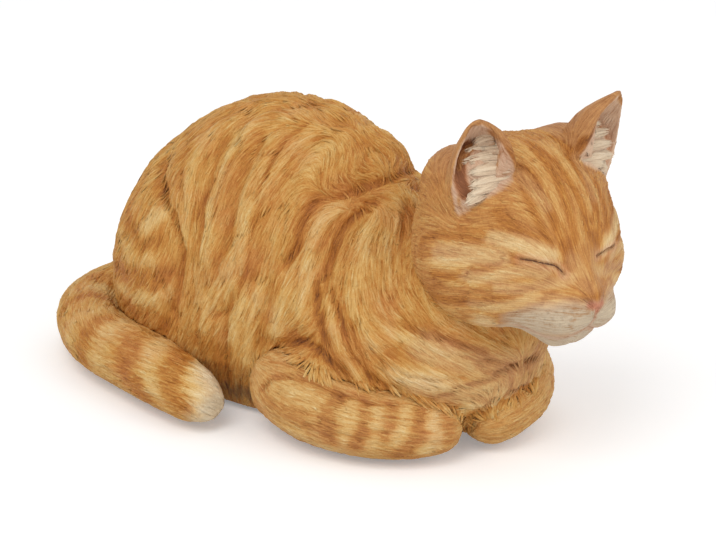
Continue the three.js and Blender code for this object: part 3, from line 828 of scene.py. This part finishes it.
def make_body():
    vent = block((-20, 0, 8), (4, 24, 13))
    skin = Skin([node_mesh("body_shell"), node_mesh("base_plate", lift=6), vent], GRAIN)
    skin.relax(3)
    swell_both(skin, BODY_SWELLS, mirror_body)
    flows = [skin.line(p, 5.0) for p in BODY_FLOW]
    comb(skin, flows + [mirror_body(line) for line in flows])
    grow(skin, 3)
    pale = feathered(skin, paint(skin, BODY_PALE, mirror_body), 0.5)
    dark = feathered(skin, paint(skin, BODY_DARK, mirror_body), 0.5)
    cream = feathered(skin, paint(skin, BODY_CREAM, mirror_body), 0.5)
    # The painted shadow low on the belly.
    shade = feathered(skin, paint(skin, BODY_SHADE, mirror_body))
    creases = paint(skin, [(w * CREASE_PAINT, 1.0, p) for w, _, p in BODY_CREASES], mirror_body)
    for width, depth, pixels in BODY_CREASES:
        press_both(skin, pixels, width, depth * CREASE_DEPTH, mirror_body)
    for strokes, height in ((BODY_PALE, PALE_RIDGE), (BODY_DARK, DARK_GROOVE)):
        for width, strength, pixels in strokes:
            press_both(skin, pixels, width * STROKE_WIDTH, -height * strength, mirror_body)
    carve(skin, *BODY_RELIEF, fade(skin.v[:, 2], 2, 20))
    skin.v[:, 2] = np.maximum(skin.v[:, 2], UNDERSIDE)
    skin.refresh()
    skin.values = values = {
        "tone": tone_of(skin, pale, dark, creases) + 0.1 * cream, "shade": shade, "cream": cream,
        "pink": np.zeros(skin.count), "lay": skin.flow,
    }
    skin.material = material = fur_material("body_coat")
    rear = skin.v[skin.faces].mean(1)[:, 0] < COAT_SPLIT
    for name, part, nodes in (
        ("body_coat_rear", rear, ("body_shell",)), ("body_coat_front", ~rear, ()),
    ):
        make_piece(name, skin.v, skin.faces[part], skin.n, values, nodes, material)
    x = skin.v[:, 0]
    open_air = fade(skin.v[:, 2], 4, 7)
    for name, part, seed in (
        ("body_locks_rear", x < REAR_END, 61),
        ("body_locks_middle", (x >= REAR_END) & (x < MIDDLE_END), 62),
        ("body_locks_front", x >= MIDDLE_END, 63),
    ):
        where = open_air * part
        cover(name, skin, MANY, seed, where, *BODY_LOCKS, values, "body_paint", material)
    return skin


# The tail and the forelegs.
TAIL_FLOW = rows("""
118,262 98,272 80,292 72,318 82,342 104,358 140,372 180,388 215,402
110,300 98,312 104,326 135,336 170,348 200,365 222,385
66,300 60,325 68,350 95,372 135,390 180,405 210,418
""")
TAIL_DARK = rows("""
7 0.8 78,274 95,276 112,282
7 0.9 62,312 72,300 88,295 108,300
9 0.9 110,318 96,323 86,333 82,346 82,362
13 0.9 138,336 128,348 125,362 130,378 140,392
11 0.9 190,350 177,361 170,374 172,388 182,404
""")
TAIL_PALE = rows("""
9 0.8 80,286 95,286 110,292
8 0.7 92,310 76,318 68,335
9 0.6 118,322 104,336 98,352 104,372
9 0.7 168,340 152,352 146,368 155,392
10 0.9 212,362 200,375 194,392 202,412
""")
TAIL_TIP = [(20, 0.85, [(224, 378), (222, 395), (214, 415)])]
LEG_FLOW = rows("""
262,400 290,420 330,436 375,446 425,450
285,396 315,405 345,414 385,424 430,430 455,425
258,386 262,404 282,422
268,364 290,366 320,378 350,392 385,402 430,412
""")
LEG_CREASE = [
    (262, 388), (271, 379), (287, 376), (305, 378), (325, 386), (345, 394), (372, 401),
    (392, 403),
]
LEG_DARK = rows("""
7 0.9 337,398 328,412 327,426 333,442
6 0.9 366,406 365,424 361,440 354,446
6 0.8 392,409 390,422 384,436
7 1 420,414 419,432 412,446 398,455
6 0.8 446,420 450,430 448,440
8 0.6 268,400 285,412 305,420
""")
LEG_PALE = rows("""
7 0.8 350,404 348,424 342,442
7 0.8 378,408 378,426 372,446
7 0.8 405,412 404,428 398,442
8 0.9 434,418 435,434 428,450
9 0.7 300,436 322,446 340,450
8 0.7 275,388 300,396 318,404
""")
# The far foreleg's fur lies along this line, in millimetres.
LEFT_LEG_LINE = [
    (20, 64, 34), (46, 68, 34), (80, 60, 30), (100, 40, 28), (108, 18, 24), (104, -4, 20),
]
LEG_CREASE_PAINT, LEG_CREASE_WIDTH, LEG_CREASE_DEPTH = 4, 2.4, 1.6
LEG_CREAM = 0.07
SMALL_RELIEF = 0.5, 0.4
LIMB_LOCKS = 8.5, 1.15, 0.35
LIMB_FEATHER = 0.35, 0.35, 0.5  # how far the dark, pale and white paint break up at their edges


def make_limb(node, slot, flow, paints, seed, locks, crease=None, own_line=None):
    """The coat and locks of a casting, combed along lines and painted dark, pale and white."""
    skin = Skin([node_mesh(node)], LIMB_GRAIN)
    skin.relax(6)
    lines = [dense(own_line, 4.0)] if own_line else [skin.line(p, 4.0) for p in flow]
    comb(skin, lines, 0.8)
    grow(skin, seed, 14)
    dark, pale, tip = (
        feathered(skin, paint(skin, strokes), far) for strokes, far in zip(paints, LIMB_FEATHER)
    )
    creases = np.zeros(skin.count)
    if crease:
        creases = paint(skin, [(LEG_CREASE_PAINT, 1.0, crease)])
        press(skin, skin.line(crease), LEG_CREASE_WIDTH, LEG_CREASE_DEPTH)
    carve(skin, *SMALL_RELIEF, fade(skin.v[:, 2], 2, 12))
    skin.refresh()
    zero = np.zeros(skin.count)
    tone = tone_of(skin, pale, dark * 0.9, creases) + 0.06 * (1 - dark) + 0.12 * tip
    tone, cream = np.clip(tone, 0, 1), tip
    if slot == "foreleg_paint":
        tone, cream = tone - 0.03, np.maximum(tip, LEG_CREAM)
    values = {"tone": tone, "shade": zero, "cream": cream, "pink": zero, "lay": skin.flow}
    skin.material = material = fur_material(node + "_coat")
    make_piece(node + "_coat", skin.v, skin.faces, skin.n, values, (node,), material)
    where = fade(skin.v[:, 2], 3, 6)
    cover(node + "_locks", skin, locks, seed + 1, where, *LIMB_LOCKS, values, slot, material)
    return skin


def seam_locks(name, upper, lower, count, seed, material, slot, reach=(9, 15), width=(0.9, 1.8)):
    """Longer locks of one casting that lie over the edge of its neighbour and soften the seam."""
    random = np.random.default_rng(seed)
    low, high = lower.v.min(0) - 8, lower.v.max(0) + 8
    near = np.flatnonzero(((upper.v > low) & (upper.v < high)).all(1) & (upper.v[:, 2] > 9))
    gap, way = np.full(len(near), 99.0), np.zeros((len(near), 3))
    for i, p in enumerate(upper.v[near]):
        place, normal, _, distance = lower.bvh().find_nearest(Vector(p))
        toward = np.array(place) - p
        if toward @ np.array(normal) < 0:
            gap[i], way[i] = distance, toward
    open_side = (gap > 0.6) & (gap < 5.5)
    near, way = near[open_side], way[open_side]
    pick = random.integers(0, len(near), count)
    root, way = near[pick], unit(way[pick])
    reach = random.uniform(*reach, count)[:, None]
    lay = unit(upper.flow[root] + 0.4 * way)
    start = upper.v[root]
    found = [lower.bvh().find_nearest(Vector(p))[:2] for p in start + lay * reach]
    tip, out = np.array([f[0] for f in found]), np.array([f[1] for f in found])
    size = random.uniform(*width, count)
    top = unit(upper.n[root] + out)
    places = [
        start - upper.n[root] * 0.4 * size[:, None],
        (start + tip) / 2 + top * random.uniform(0.1, 0.7, count)[:, None],
        tip - out * random.uniform(0.0, 0.2, count)[:, None],
    ]
    tone = upper.values["tone"][root] * 0.5 + 0.25 + random.normal(0, 0.04, count)
    given = {key: [np.zeros(count)] * 3 for key in ("cream", "pink", "shade")}
    given["tone"] = [tone - 0.06, tone, tone + 0.05]
    out = [upper.n[root], top, out]
    return make_locks(name, *places, out, size, size * LOCK_THICKNESS, given, slot, material)


# The head, which is turned and tilted on the neck. Its far side is a mirror image of the near one.
HEAD_AT = np.array([126.74, 14.47, 127.0])
HEAD_YAW, HEAD_PITCH, HEAD_ROLL = -10.4, 9.8, -1.7
HEAD_FLOW = rows("""
597,296 586,272 574,250 560,224 542,194 522,162 505,145
602,262 594,232 582,200 566,168 548,145
562,268 548,246 524,228 500,214
524,258 500,250 470,243 440,238 412,238
560,284 535,278 500,272 460,268 425,266 404,268
572,298 540,300 500,298 460,294 425,290 408,286
586,316 560,318 530,318 500,318 470,316 440,308 420,300
580,340 550,342 520,342 490,336 462,326
500,206 480,218 455,228 430,228
448,222 438,200 430,180 424,165
430,220 414,214 404,218
456,212 446,190 450,160 464,132
598,178 606,140 618,108
560,135 545,128 530,128
""")
HEAD_DARK = rows("""
4 1 505,152 524,168 540,190 552,216 561,240 569,256
4 0.9 528,143 552,160 572,186 584,212 589,236
3.5 0.8 553,137 577,155 594,182 604,208 606,232
6 0.8 498,214 512,228 526,238 536,242
6 0.7 560,226 566,244 572,256 570,262
6 0.95 584,284 592,294 602,291
3.5 0.9 520,259 500,266 476,273 452,277 432,274
3.5 0.8 552,279 534,286 511,295 484,301 452,300 432,295
3.5 0.45 552,294 527,309 507,320 478,326 450,318 428,304
4 0.7 510,236 490,242 466,238 442,234 422,242
4 0.6 505,228 484,232 458,228
4 0.5 470,255 445,252 420,254
4 0.5 440,286 420,284 408,276
""")
HEAD_PALE = rows("""
6 0.8 492,238 515,243 538,250 556,258
4 0.7 516,150 542,176 558,204 568,232
4 0.7 541,144 566,168 584,196 596,226
5 0.6 508,268 480,280 450,286
5 0.6 536,296 505,308 470,312 444,308
5 0.6 470,262 442,264 418,262
5 0.5 560,190 572,214 580,240
6 0.6 500,330 475,334 450,328
""")
HEAD_CREAM = rows("""
9 0.55 438,253 462,254 484,256 502,258
7 0.6 492,238 510,242 530,247 552,256
6 0.5 466,276 494,277 520,271 546,274
6 0.5 500,287 524,289 546,284 572,279
6 0.45 474,305 500,306 526,301 560,299
7 0.35 516,172 534,190 546,206
12 0.7 484,322 504,332 524,340
9 0.35 574,262 580,274 586,284
""")
HEAD_SWELLS = [
    (15, 1.8, (564, 320)), (10, 1.4, (552, 343)), (10, 1.2, (545, 250)), (11, -1.6, (573, 274)),
    (18, 1.6, (500, 290)), (20, 2.0, (432, 262)),
]
EYE_SLIT = [(520, 259), (531, 260.5), (543, 263.5), (554, 265.5), (559, 268.5), (564, 274)]
WHISKER_DOTS = [
    (548, 313), (556, 312), (564, 311), (572, 312), (545, 319), (553, 319), (562, 318),
    (571, 319), (550, 325), (560, 325), (569, 325),
]
EAR_OPENING = [
    (474, 126), (482, 124), (491, 130), (503, 145), (512, 160), (515, 170), (513, 180),
    (503, 189), (486, 198), (470, 208), (458, 217), (454, 205), (451, 190), (451, 176),
    (455, 158), (462, 141),
]
# Painted shade deep in the hollow of each ear, along its outer wall.
EAR_POCKET_SHADE = [(5, 1.0, [(466, 146), (461, 158), (459, 170), (461, 183), (465, 194)])]
# The long hairs in each ear, from root to tip.
EAR_HAIR = rows("""
494,137 484,138 473,143
503,146 484,147 465,150
508,156 488,156 466,160
511,166 490,167 469,172
512,174 490,178 471,184
500,181 487,185 472,192
484,189 476,194 466,201
""")
# These are in the head's own millimetres: forward, to the side and up.
MUZZLE_CREAM = rows("""
13 1 57,2,-25 53,12,-25 45,21,-28 38,27,-32
13 1 50,0,-38 46,8,-41 38,16,-41 30,23,-40
12 0.9 44,0,-46 36,6,-47 28,12,-46
""")
NOSE_LEATHER = rows("""
2.7 1 59.5,-4,-15.5 60.5,0,-16.5 59.5,4,-15.5
1.9 1 60.5,0,-16.5 60.5,0,-19.5
1.1 0.55 60.5,0,-19.5 60,0,-24 56.5,0,-30
""")
NOSE_WING = [(56.6, 7.6, -13.0), (58.2, 5.6, -14.6), (59.4, 2.8, -16.2)]
LIP_PARTING = [(60.5, 0, -19), (60, 0, -24), (56.5, 0, -30)]
MOUTH = [(56, 0.5, -31), (52.5, 7, -34.5), (46, 13, -37), (39, 20, -37), (32, 27, -35)]
FAR_EYE_SLIT = [(45.4, 10.5, 2.6), (43.2, 17, 3.2), (41.0, 23, 3.2), (38.5, 28, 3.0)]
NOSE_BRIDGE = 58, 0, -11
EAR_MIDDLE = (20.0, 37.0, 38.0)
EAR_PLUG = (-7, 37, 31), (11, 17, 20)  # its middle and its radii
# The plug of the pour hole, in the millimetres of the whole figure.
POUR_HOLE = (120.7, 12.5, 105.3), (13, 13, 13)
# Radius and height of the hollow round each eye, and of the lid in its middle.
EYE_SOCKET, EYELID = (26, -2.2), (13, 1.8)
# How strong the face's small paints are.
EAR_PINK, LIP_PINK = 0.42, 0.3
EYE_INK, DOT_INK, EYELID_PALE = 0.35, 0.22, 0.45
HEAD_REDNESS = 120
HEAD_LOCKS = 5.5, 0.95, 0.3
HAIRS_IN_TUFT = 13
EAR_HAIR_GAP = 0.48
SHORT_TUFTS = 2  # the lowest tufts of the far ear, which would stand out past its rim


def turn_matrix(yaw, pitch, roll):
    cz, sz = math.cos(math.radians(yaw)), math.sin(math.radians(yaw))
    cy, sy = math.cos(math.radians(pitch)), math.sin(math.radians(pitch))
    cx, sx = math.cos(math.radians(roll)), math.sin(math.radians(roll))
    z = np.array([[cz, -sz, 0], [sz, cz, 0], [0, 0, 1]])
    y = np.array([[cy, 0, sy], [0, 1, 0], [-sy, 0, cy]])
    x = np.array([[1, 0, 0], [0, cx, -sx], [0, sx, cx]])
    return z @ y @ x


HEAD_R = turn_matrix(HEAD_YAW, HEAD_PITCH, HEAD_ROLL)


def head_local(p):
    return (p - HEAD_AT) @ HEAD_R


def head_world(q):
    return np.asarray(q, float) @ HEAD_R.T + HEAD_AT


def mirror_head(line):
    return head_world(head_local(line) * [1, -1, 1])


def inside(points, outline):
    """How far points lie inside an outline on a flat sheet, negative outside it."""
    ring = np.array(outline + outline[:1], float)
    distance, _ = line_distance(points, ring)
    odd = np.zeros(len(points), bool)
    for (ax, ay), (bx, by) in zip(ring[:-1], ring[1:]):
        crosses = (ay > points[:, 1]) != (by > points[:, 1])
        at = ax + (points[:, 1] - ay) * (bx - ax) / (by - ay if by != ay else 1e-9)
        odd ^= crosses & (points[:, 0] < at)
    return np.where(odd, distance, -distance)


def ear_openings(skin, local):
    """The opening of each ear, inside an outline that is drawn on the near one."""
    ring = head_local(np.array([skin.at_pixel(x, y) for x, y in EAR_OPENING]))
    outline = [(abs(y), z) for _, y, z in ring]
    spots = np.stack([np.abs(local[:, 1]), local[:, 2]], 1)
    forward, aside, up = EAR_MIDDLE
    side = np.where(local[:, 1] < 0, -aside, aside)
    room = np.stack([np.full(len(local), forward), side, np.full(len(local), up)], 1)
    facing = (unit(room - local) * (skin.n @ HEAD_R)).sum(1)
    return fade(inside(spots, outline), -1.0, 1.2) * fade(facing, -0.05, 0.2) * (local[:, 0] < 14)


def both_sides(skin, points):
    """A line given in the head's own millimetres, laid on the skin of the left and the right."""
    points = dense(np.array(points, float), 1.0)
    return [np.array([skin.snap(head_world(p * [1, side, 1])) for p in points]) for side in (1, -1)]


def paint_sides(skin, strokes):
    """Soft strokes, as in paint, but in the head's own millimetres."""
    mask = np.zeros(skin.count)
    for width, strength, points in strokes:
        for line in both_sides(skin, points):
            distance = skin.spread(line, width * 1.3)
            mask = np.maximum(mask, strength * (1 - fade(distance, width * 0.3, width * 1.3)))
    return mask


def drawn_line(name, lines, width, given, material):
    """A fine painted line, of short locks that overlap and thin out at its ends."""
    places, size = [[], [], []], []
    for line in lines:
        for _ in range(4):
            smooth = (line[:-2] + 2 * line[1:-1] + line[2:]) / 4
            line = np.concatenate([line[:1], smooth, line[-1:]])
        count = len(line) - 3
        for i in range(0, count, 2):
            for group, k in zip(places, (i, i + 1, i + 3)):
                group.append(line[k])
            size.append(width * (0.35 + 0.65 * math.sin(math.pi * (i + 1.5) / (count + 2))))
    places = [np.array(group) for group in places]
    out = [unit(group - head_world((5, 0, 0))) for group in places]
    size = np.array(size)
    values = {key: [np.full(len(size), value)] * 3 for key, value in given.items()}
    return make_locks(name, *places, out, size, size * 0.5, values, "head_paint", material)


def make_ear_hair(skin, material):
    """Tufts of long pale hair that cross the opening of each ear."""
    random = np.random.default_rng(5)
    middle_hair = HAIRS_IN_TUFT // 2
    root, middle, tip, size, tone = [], [], [], [], []
    for pixels in EAR_HAIR:
        a, m, b = (skin.at_pixel(x, y) for x, y in pixels)
        across = unit(np.cross(b - a, BACK))
        for k in range(HAIRS_IN_TUFT):
            edge = abs(k - middle_hair)
            shift = across * ((k - middle_hair) * EAR_HAIR_GAP + random.normal(0, 0.2))
            longer = random.normal(0.02, 0.07) - 0.012 * edge
            bulge = 2.3 - 0.22 * edge + random.normal(0, 0.2)
            rise = 2.2 + random.normal(0, 0.3)
            root.append(a + shift * 1.25 - BACK * 0.4)
            middle.append(m + shift * 1.1 + BACK * bulge - UP * 0.5)
            tip.append(b + shift * 0.5 + BACK * rise + (b - a) * longer - UP * 0.8)
            size.append(random.uniform(1.0, 1.7))
            # The outer hairs of each tuft are painted darker, as shade between the hairs.
            tone.append(random.uniform(0.52, 0.68) - 0.04 * edge)
    near = [np.array(group) for group in (root, middle, tip)]
    far = [mirror_head(group) for group in near]
    short = np.ones((len(root), 1))
    short[-SHORT_TUFTS * HAIRS_IN_TUFT:] = 0.6
    far[1:] = [far[0] + (group - far[0]) * short for group in far[1:]]
    places = [np.concatenate([a, b]) for a, b in zip(near, far)]
    far_out = head_world(head_local(HEAD_AT + BACK) * [1, -1, 1]) - HEAD_AT
    out = np.concatenate([np.tile(way, (len(root), 1)) for way in (BACK, far_out)])
    size, tone = np.tile(size, 2), np.tile(tone, 2)
    paints = {"cream": 1.0, "pink": 0.2, "shade": 0.0}
    given = {key: [np.full(len(tone), value)] * 3 for key, value in paints.items()}
    given["tone"] = [tone - 0.1, tone, tone + 0.12]
    out = [out] * 3
    return make_locks("ear_hair", *places, out, size, size * 0.5, given, "head_paint", material)


def head_skin():
    """The head's casting with its ears and pour hole closed, and the face filled out."""
    plugs = [ball(*POUR_HOLE)]
    for side in (-1, 1):
        (forward, aside, up), radii = EAR_PLUG
        plugs.append(ball(head_world((forward, side * aside, up)), radii))
    skin = Skin([node_mesh("head_shell"), *plugs], HEAD_GRAIN)
    skin.relax(3)
    swell_both(skin, HEAD_SWELLS, mirror_head)
    for eye in (skin.line(EYE_SLIT, 1.0), both_sides(skin, FAR_EYE_SLIT)[0]):
        for radius, height in (EYE_SOCKET, EYELID):
            swell(skin, eye[len(eye) // 2], radius, height)
    swell(skin, skin.snap(head_world(NOSE_BRIDGE)), 9, 1.0)
    skin.refresh()
    flows = [skin.line(p, 4.0) for p in HEAD_FLOW]
    comb(skin, flows + [mirror_head(line) for line in flows])
    grow(skin, 8, 14)
    return skin


def paint_head(skin, eyes):
    """The paint of the head, and where its fur is long enough for relief and locks."""
    local = head_local(skin.v)
    dark = 0.95 * feathered(skin, paint(skin, HEAD_DARK, mirror_head), 0.3)
    pale = feathered(skin, paint(skin, HEAD_PALE, mirror_head), 0.3)
    muzzle = feathered(skin, paint_sides(skin, MUZZLE_CREAM), 0.5)
    patches = feathered(skin, paint(skin, HEAD_CREAM, mirror_head), 0.4)
    cream = np.maximum(0.45 * patches, muzzle)
    opening = ear_openings(skin, local)
    far = local[:, 1] > 0
    # Painted shade in each ear's hollow, half as dark in the far ear.
    pocket_shade = paint(skin, EAR_POCKET_SHADE, mirror_head) * opening * np.where(far, 0.5, 1)
    leather = paint_sides(skin, NOSE_LEATHER)
    pink = np.maximum(EAR_PINK * opening, leather)
    pink = np.maximum(pink, LIP_PINK * paint_sides(skin, [(2.4, 1.0, MOUTH)]))
    cream = np.maximum(cream, opening * 0.9) * (1 - pocket_shade)
    ink = np.zeros(skin.count)
    for line in eyes:
        distance = skin.spread(line, 6)
        ink = np.maximum(ink, EYE_INK * (1 - fade(distance, 0.4, 1.8)))
        pink = np.maximum(pink, LIP_PINK * (1 - fade(distance, 1.5, 4.5)))
        patches = np.maximum(patches, EYELID_PALE * (1 - fade(distance, 1.5, 5.5)))
    for x, y in WHISKER_DOTS:
        dot = skin.at_pixel(x, y)
        for one in (dot, skin.snap(mirror_head(dot))):
            distance = np.linalg.norm(skin.v - one, axis=1)
            ink = np.maximum(ink, DOT_INK * (1 - fade(distance, 0.3, 1.1)))
    face = np.maximum(fade(local[:, 0], 26, 48), muzzle)
    ears = fade(local[:, 2], 26, 42) * (np.abs(local[:, 1]) > 21)
    ear_backs = ears * (1 - opening)
    hair = (1 - face) * (1 - np.maximum(ears, opening))
    tone = tone_of(skin, pale, dark, np.zeros(skin.count))
    # The ear's hollow is painted darker here, as painted shade.
    tone += 0.26 * patches * (1 - muzzle) - 0.16 * muzzle - 0.4 * pocket_shade - 0.1 * leather
    # Painted light makes the far ear's opening lighter.
    tone += 0.16 * opening * far - 0.06 * ear_backs - 0.1 * (1 - muzzle)
    cream = np.maximum(cream, (0.08 + 0.1 * ear_backs) * (1 - np.clip(dark, 0, 1)))
    values = {
        "tone": np.clip(tone, 0, 1), "shade": ink, "cream": cream, "pink": pink * (1 - ink),
        "lay": skin.flow,
    }
    return values, hair


def make_head():
    skin = head_skin()
    eyes = [skin.line(EYE_SLIT, 1.0), both_sides(skin, FAR_EYE_SLIT)[0]]
    values, hair = paint_head(skin, eyes)
    for width, depth, lines in (
        (0.9, 0.9, eyes), (1.1, 0.7, both_sides(skin, MOUTH)),
        (1.0, 0.9, both_sides(skin, NOSE_WING)), (1.1, 0.9, both_sides(skin, LIP_PARTING)[:1]),
    ):
        for line in lines:
            press(skin, line, width, depth)
    carve(skin, *SMALL_RELIEF, 0.1 + 0.9 * hair)
    skin.refresh()
    skin.values, skin.material = values, fur_material("head_coat", HEAD_REDNESS)
    material = skin.material
    nodes, slot = ("head_shell",), "head_paint"
    make_piece("head_coat", skin.v, skin.faces, skin.n, values, nodes, material)
    cover("head_locks", skin, MANY * 3 // 4, 71, hair, *HEAD_LOCKS, values, slot, material)
    make_ear_hair(skin, material)
    lips = both_sides(skin, NOSE_WING) + both_sides(skin, MOUTH)
    for name, lines, width, tone, cream, pink, shade in (
        ("eye_line_right", [skin.line(EYE_SLIT, 1.0)], 1.35, 0.2, 0.0, 0.0, 0.8),
        ("eye_line_left", both_sides(skin, FAR_EYE_SLIT)[:1], 0.8, 0.3, 0.0, 0.0, 0.45),
        ("nose_and_lip_lines", lips, 0.7, 0.28, 0.2, 0.3, 0.35),
    ):
        given = {"tone": tone, "cream": cream, "pink": pink, "shade": shade}
        drawn_line(name, lines, width, given, material)
    return skin


# Light and floor.
FLOOR_GLOW, FLOOR_SIZE, FLOOR_DROP = 0.24, 6, 0.0005
DAYLIGHT = 0.7
LAMP_AIM = Vector((0, 0, 0.08))
LAMPS = [("key", (0.5, -1.3, 1.7), 1.2, 15), ("fill", (1.6, 0.3, 0.9), 1.5, 6)]


def white_to_the_eye(tree):
    """One for what the camera sees, also in gloss or glass, and zero for light on the object."""
    rays = add_node(tree, "LightPath", {}).outputs
    seen = maths(tree, "MAXIMUM", rays["Is Camera Ray"], rays["Is Glossy Ray"])
    return maths(tree, "MAXIMUM", seen, rays["Is Transmission Ray"])


def make_floor():
    bm = bmesh.new()
    bmesh.ops.create_grid(bm, x_segments=1, y_segments=1, size=FLOOR_SIZE)
    floor = put("floor", mesh_of(bm, "floor"))
    floor.location.z = -FLOOR_DROP
    material, tree, shader = new_material(
        "floor", {"Base Color": (0.9, 0.9, 0.9, 1), "Roughness": 0.9, "Specular IOR Level": 0}
    )
    strength = maths(tree, "MULTIPLY", white_to_the_eye(tree), FLOOR_GLOW)
    glow = add_node(tree, "Emission", {"Strength": strength})
    both = add_node(tree, "AddShader", {0: shader.outputs[0], 1: glow.outputs[0]})
    tree.links.new(both.outputs[0], tree.nodes["Material Output"].inputs["Surface"])
    floor.data.materials.append(material)


def make_light():
    world = bpy.data.worlds.new("studio")
    world.use_nodes = True
    bpy.context.scene.world = world
    tree = world.node_tree
    light = tree.nodes["Background"]
    light.inputs["Color"].default_value = (1, 1, 1, 1)
    light.inputs["Strength"].default_value = DAYLIGHT
    white = add_node(tree, "Background", {"Color": (1, 1, 1, 1), "Strength": 1})
    seen = white_to_the_eye(tree)
    choice = add_node(tree, "MixShader", {0: seen, 1: light.outputs[0], 2: white.outputs[0]})
    tree.links.new(choice.outputs[0], tree.nodes["World Output"].inputs["Surface"])
    for name, at, size, power in LAMPS:
        data = bpy.data.lights.new(name, "AREA")
        data.size = size
        data.energy = power
        lamp = put(name, data)
        lamp.location = at
        lamp.rotation_euler = (Vector(at) - LAMP_AIM).to_track_quat("Z", "Y").to_euler()


# The plain parts underneath and inside.
def grained_material(name, low, high, scale, stretch, relief, inputs):
    """A finish of two colours, mixed by a stretched noise that also gives it its grain."""
    material, tree, shader = new_material(name, inputs)
    coords = add_node(tree, "TexCoord", {}).outputs["Object"]
    place = add_node(tree, "Mapping", {"Vector": coords, "Scale": stretch}).outputs["Vector"]
    pattern = {"Vector": place, "Scale": scale, "Detail": 6, "Distortion": 0.6}
    grain = add_node(tree, "TexNoise", pattern).outputs["Fac"]
    finish(tree, shader, ramp(tree, grain, [(0.35, low), (0.65, high)]), grain, 0.5, relief)
    return material


def dress_hardware():
    """Board for the base plate, steel for the dowels and felt for the pads."""
    finishes = {
        "base_plate": grained_material(
            "plate_board", (66, 50, 37), (92, 73, 54), 60, (1, 9, 9), 0.0002, {"Roughness": 0.75}
        ),
        "dowel": grained_material(
            "dowel_steel", (176, 179, 182), (214, 216, 219), 900, (1, 1, 1), 0.00003,
            {"Roughness": 0.34, "Metallic": 1.0},
        ),
        "pad": grained_material(
            "pad_felt", (82, 55, 39), (126, 90, 66), 2200, (1, 1, 1), 0.0004,
            {"Roughness": 0.95, "Sheen Weight": 0.4},
        ),
    }
    for name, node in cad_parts.items():
        for word, material in finishes.items():
            if word in name:
                for place in node.material_slots:
                    place.material = material


make_camera()
body = make_body()
tail_paints, leg_paints = (TAIL_DARK, TAIL_PALE, TAIL_TIP), (LEG_DARK, LEG_PALE, [])
tail_locks, leg_locks = MANY * 5 // 8, MANY * 3 // 8
make_limb("tail", "tail_paint", TAIL_FLOW, tail_paints, 21, tail_locks)
leg = make_limb(
    "right_foreleg", "foreleg_paint", LEG_FLOW, leg_paints, 34, leg_locks, crease=LEG_CREASE
)
seam_locks("right_elbow_locks", body, leg, MANY // 4, 91, leg.material, "foreleg_paint")
leg = make_limb(
    "left_foreleg", "foreleg_paint", [], ([], [], []), 47, leg_locks, own_line=LEFT_LEG_LINE
)
seam_locks("left_elbow_locks", body, leg, MANY // 4, 92, leg.material, "foreleg_paint")
head = make_head()
seam_locks(
    "neck_locks", head, body, MANY // 5, 93, head.material, "head_paint", (5, 10), (0.8, 1.4)
)
make_floor()
make_light()
dress_hardware()
bpy.context.scene.view_settings.view_transform = "Standard"
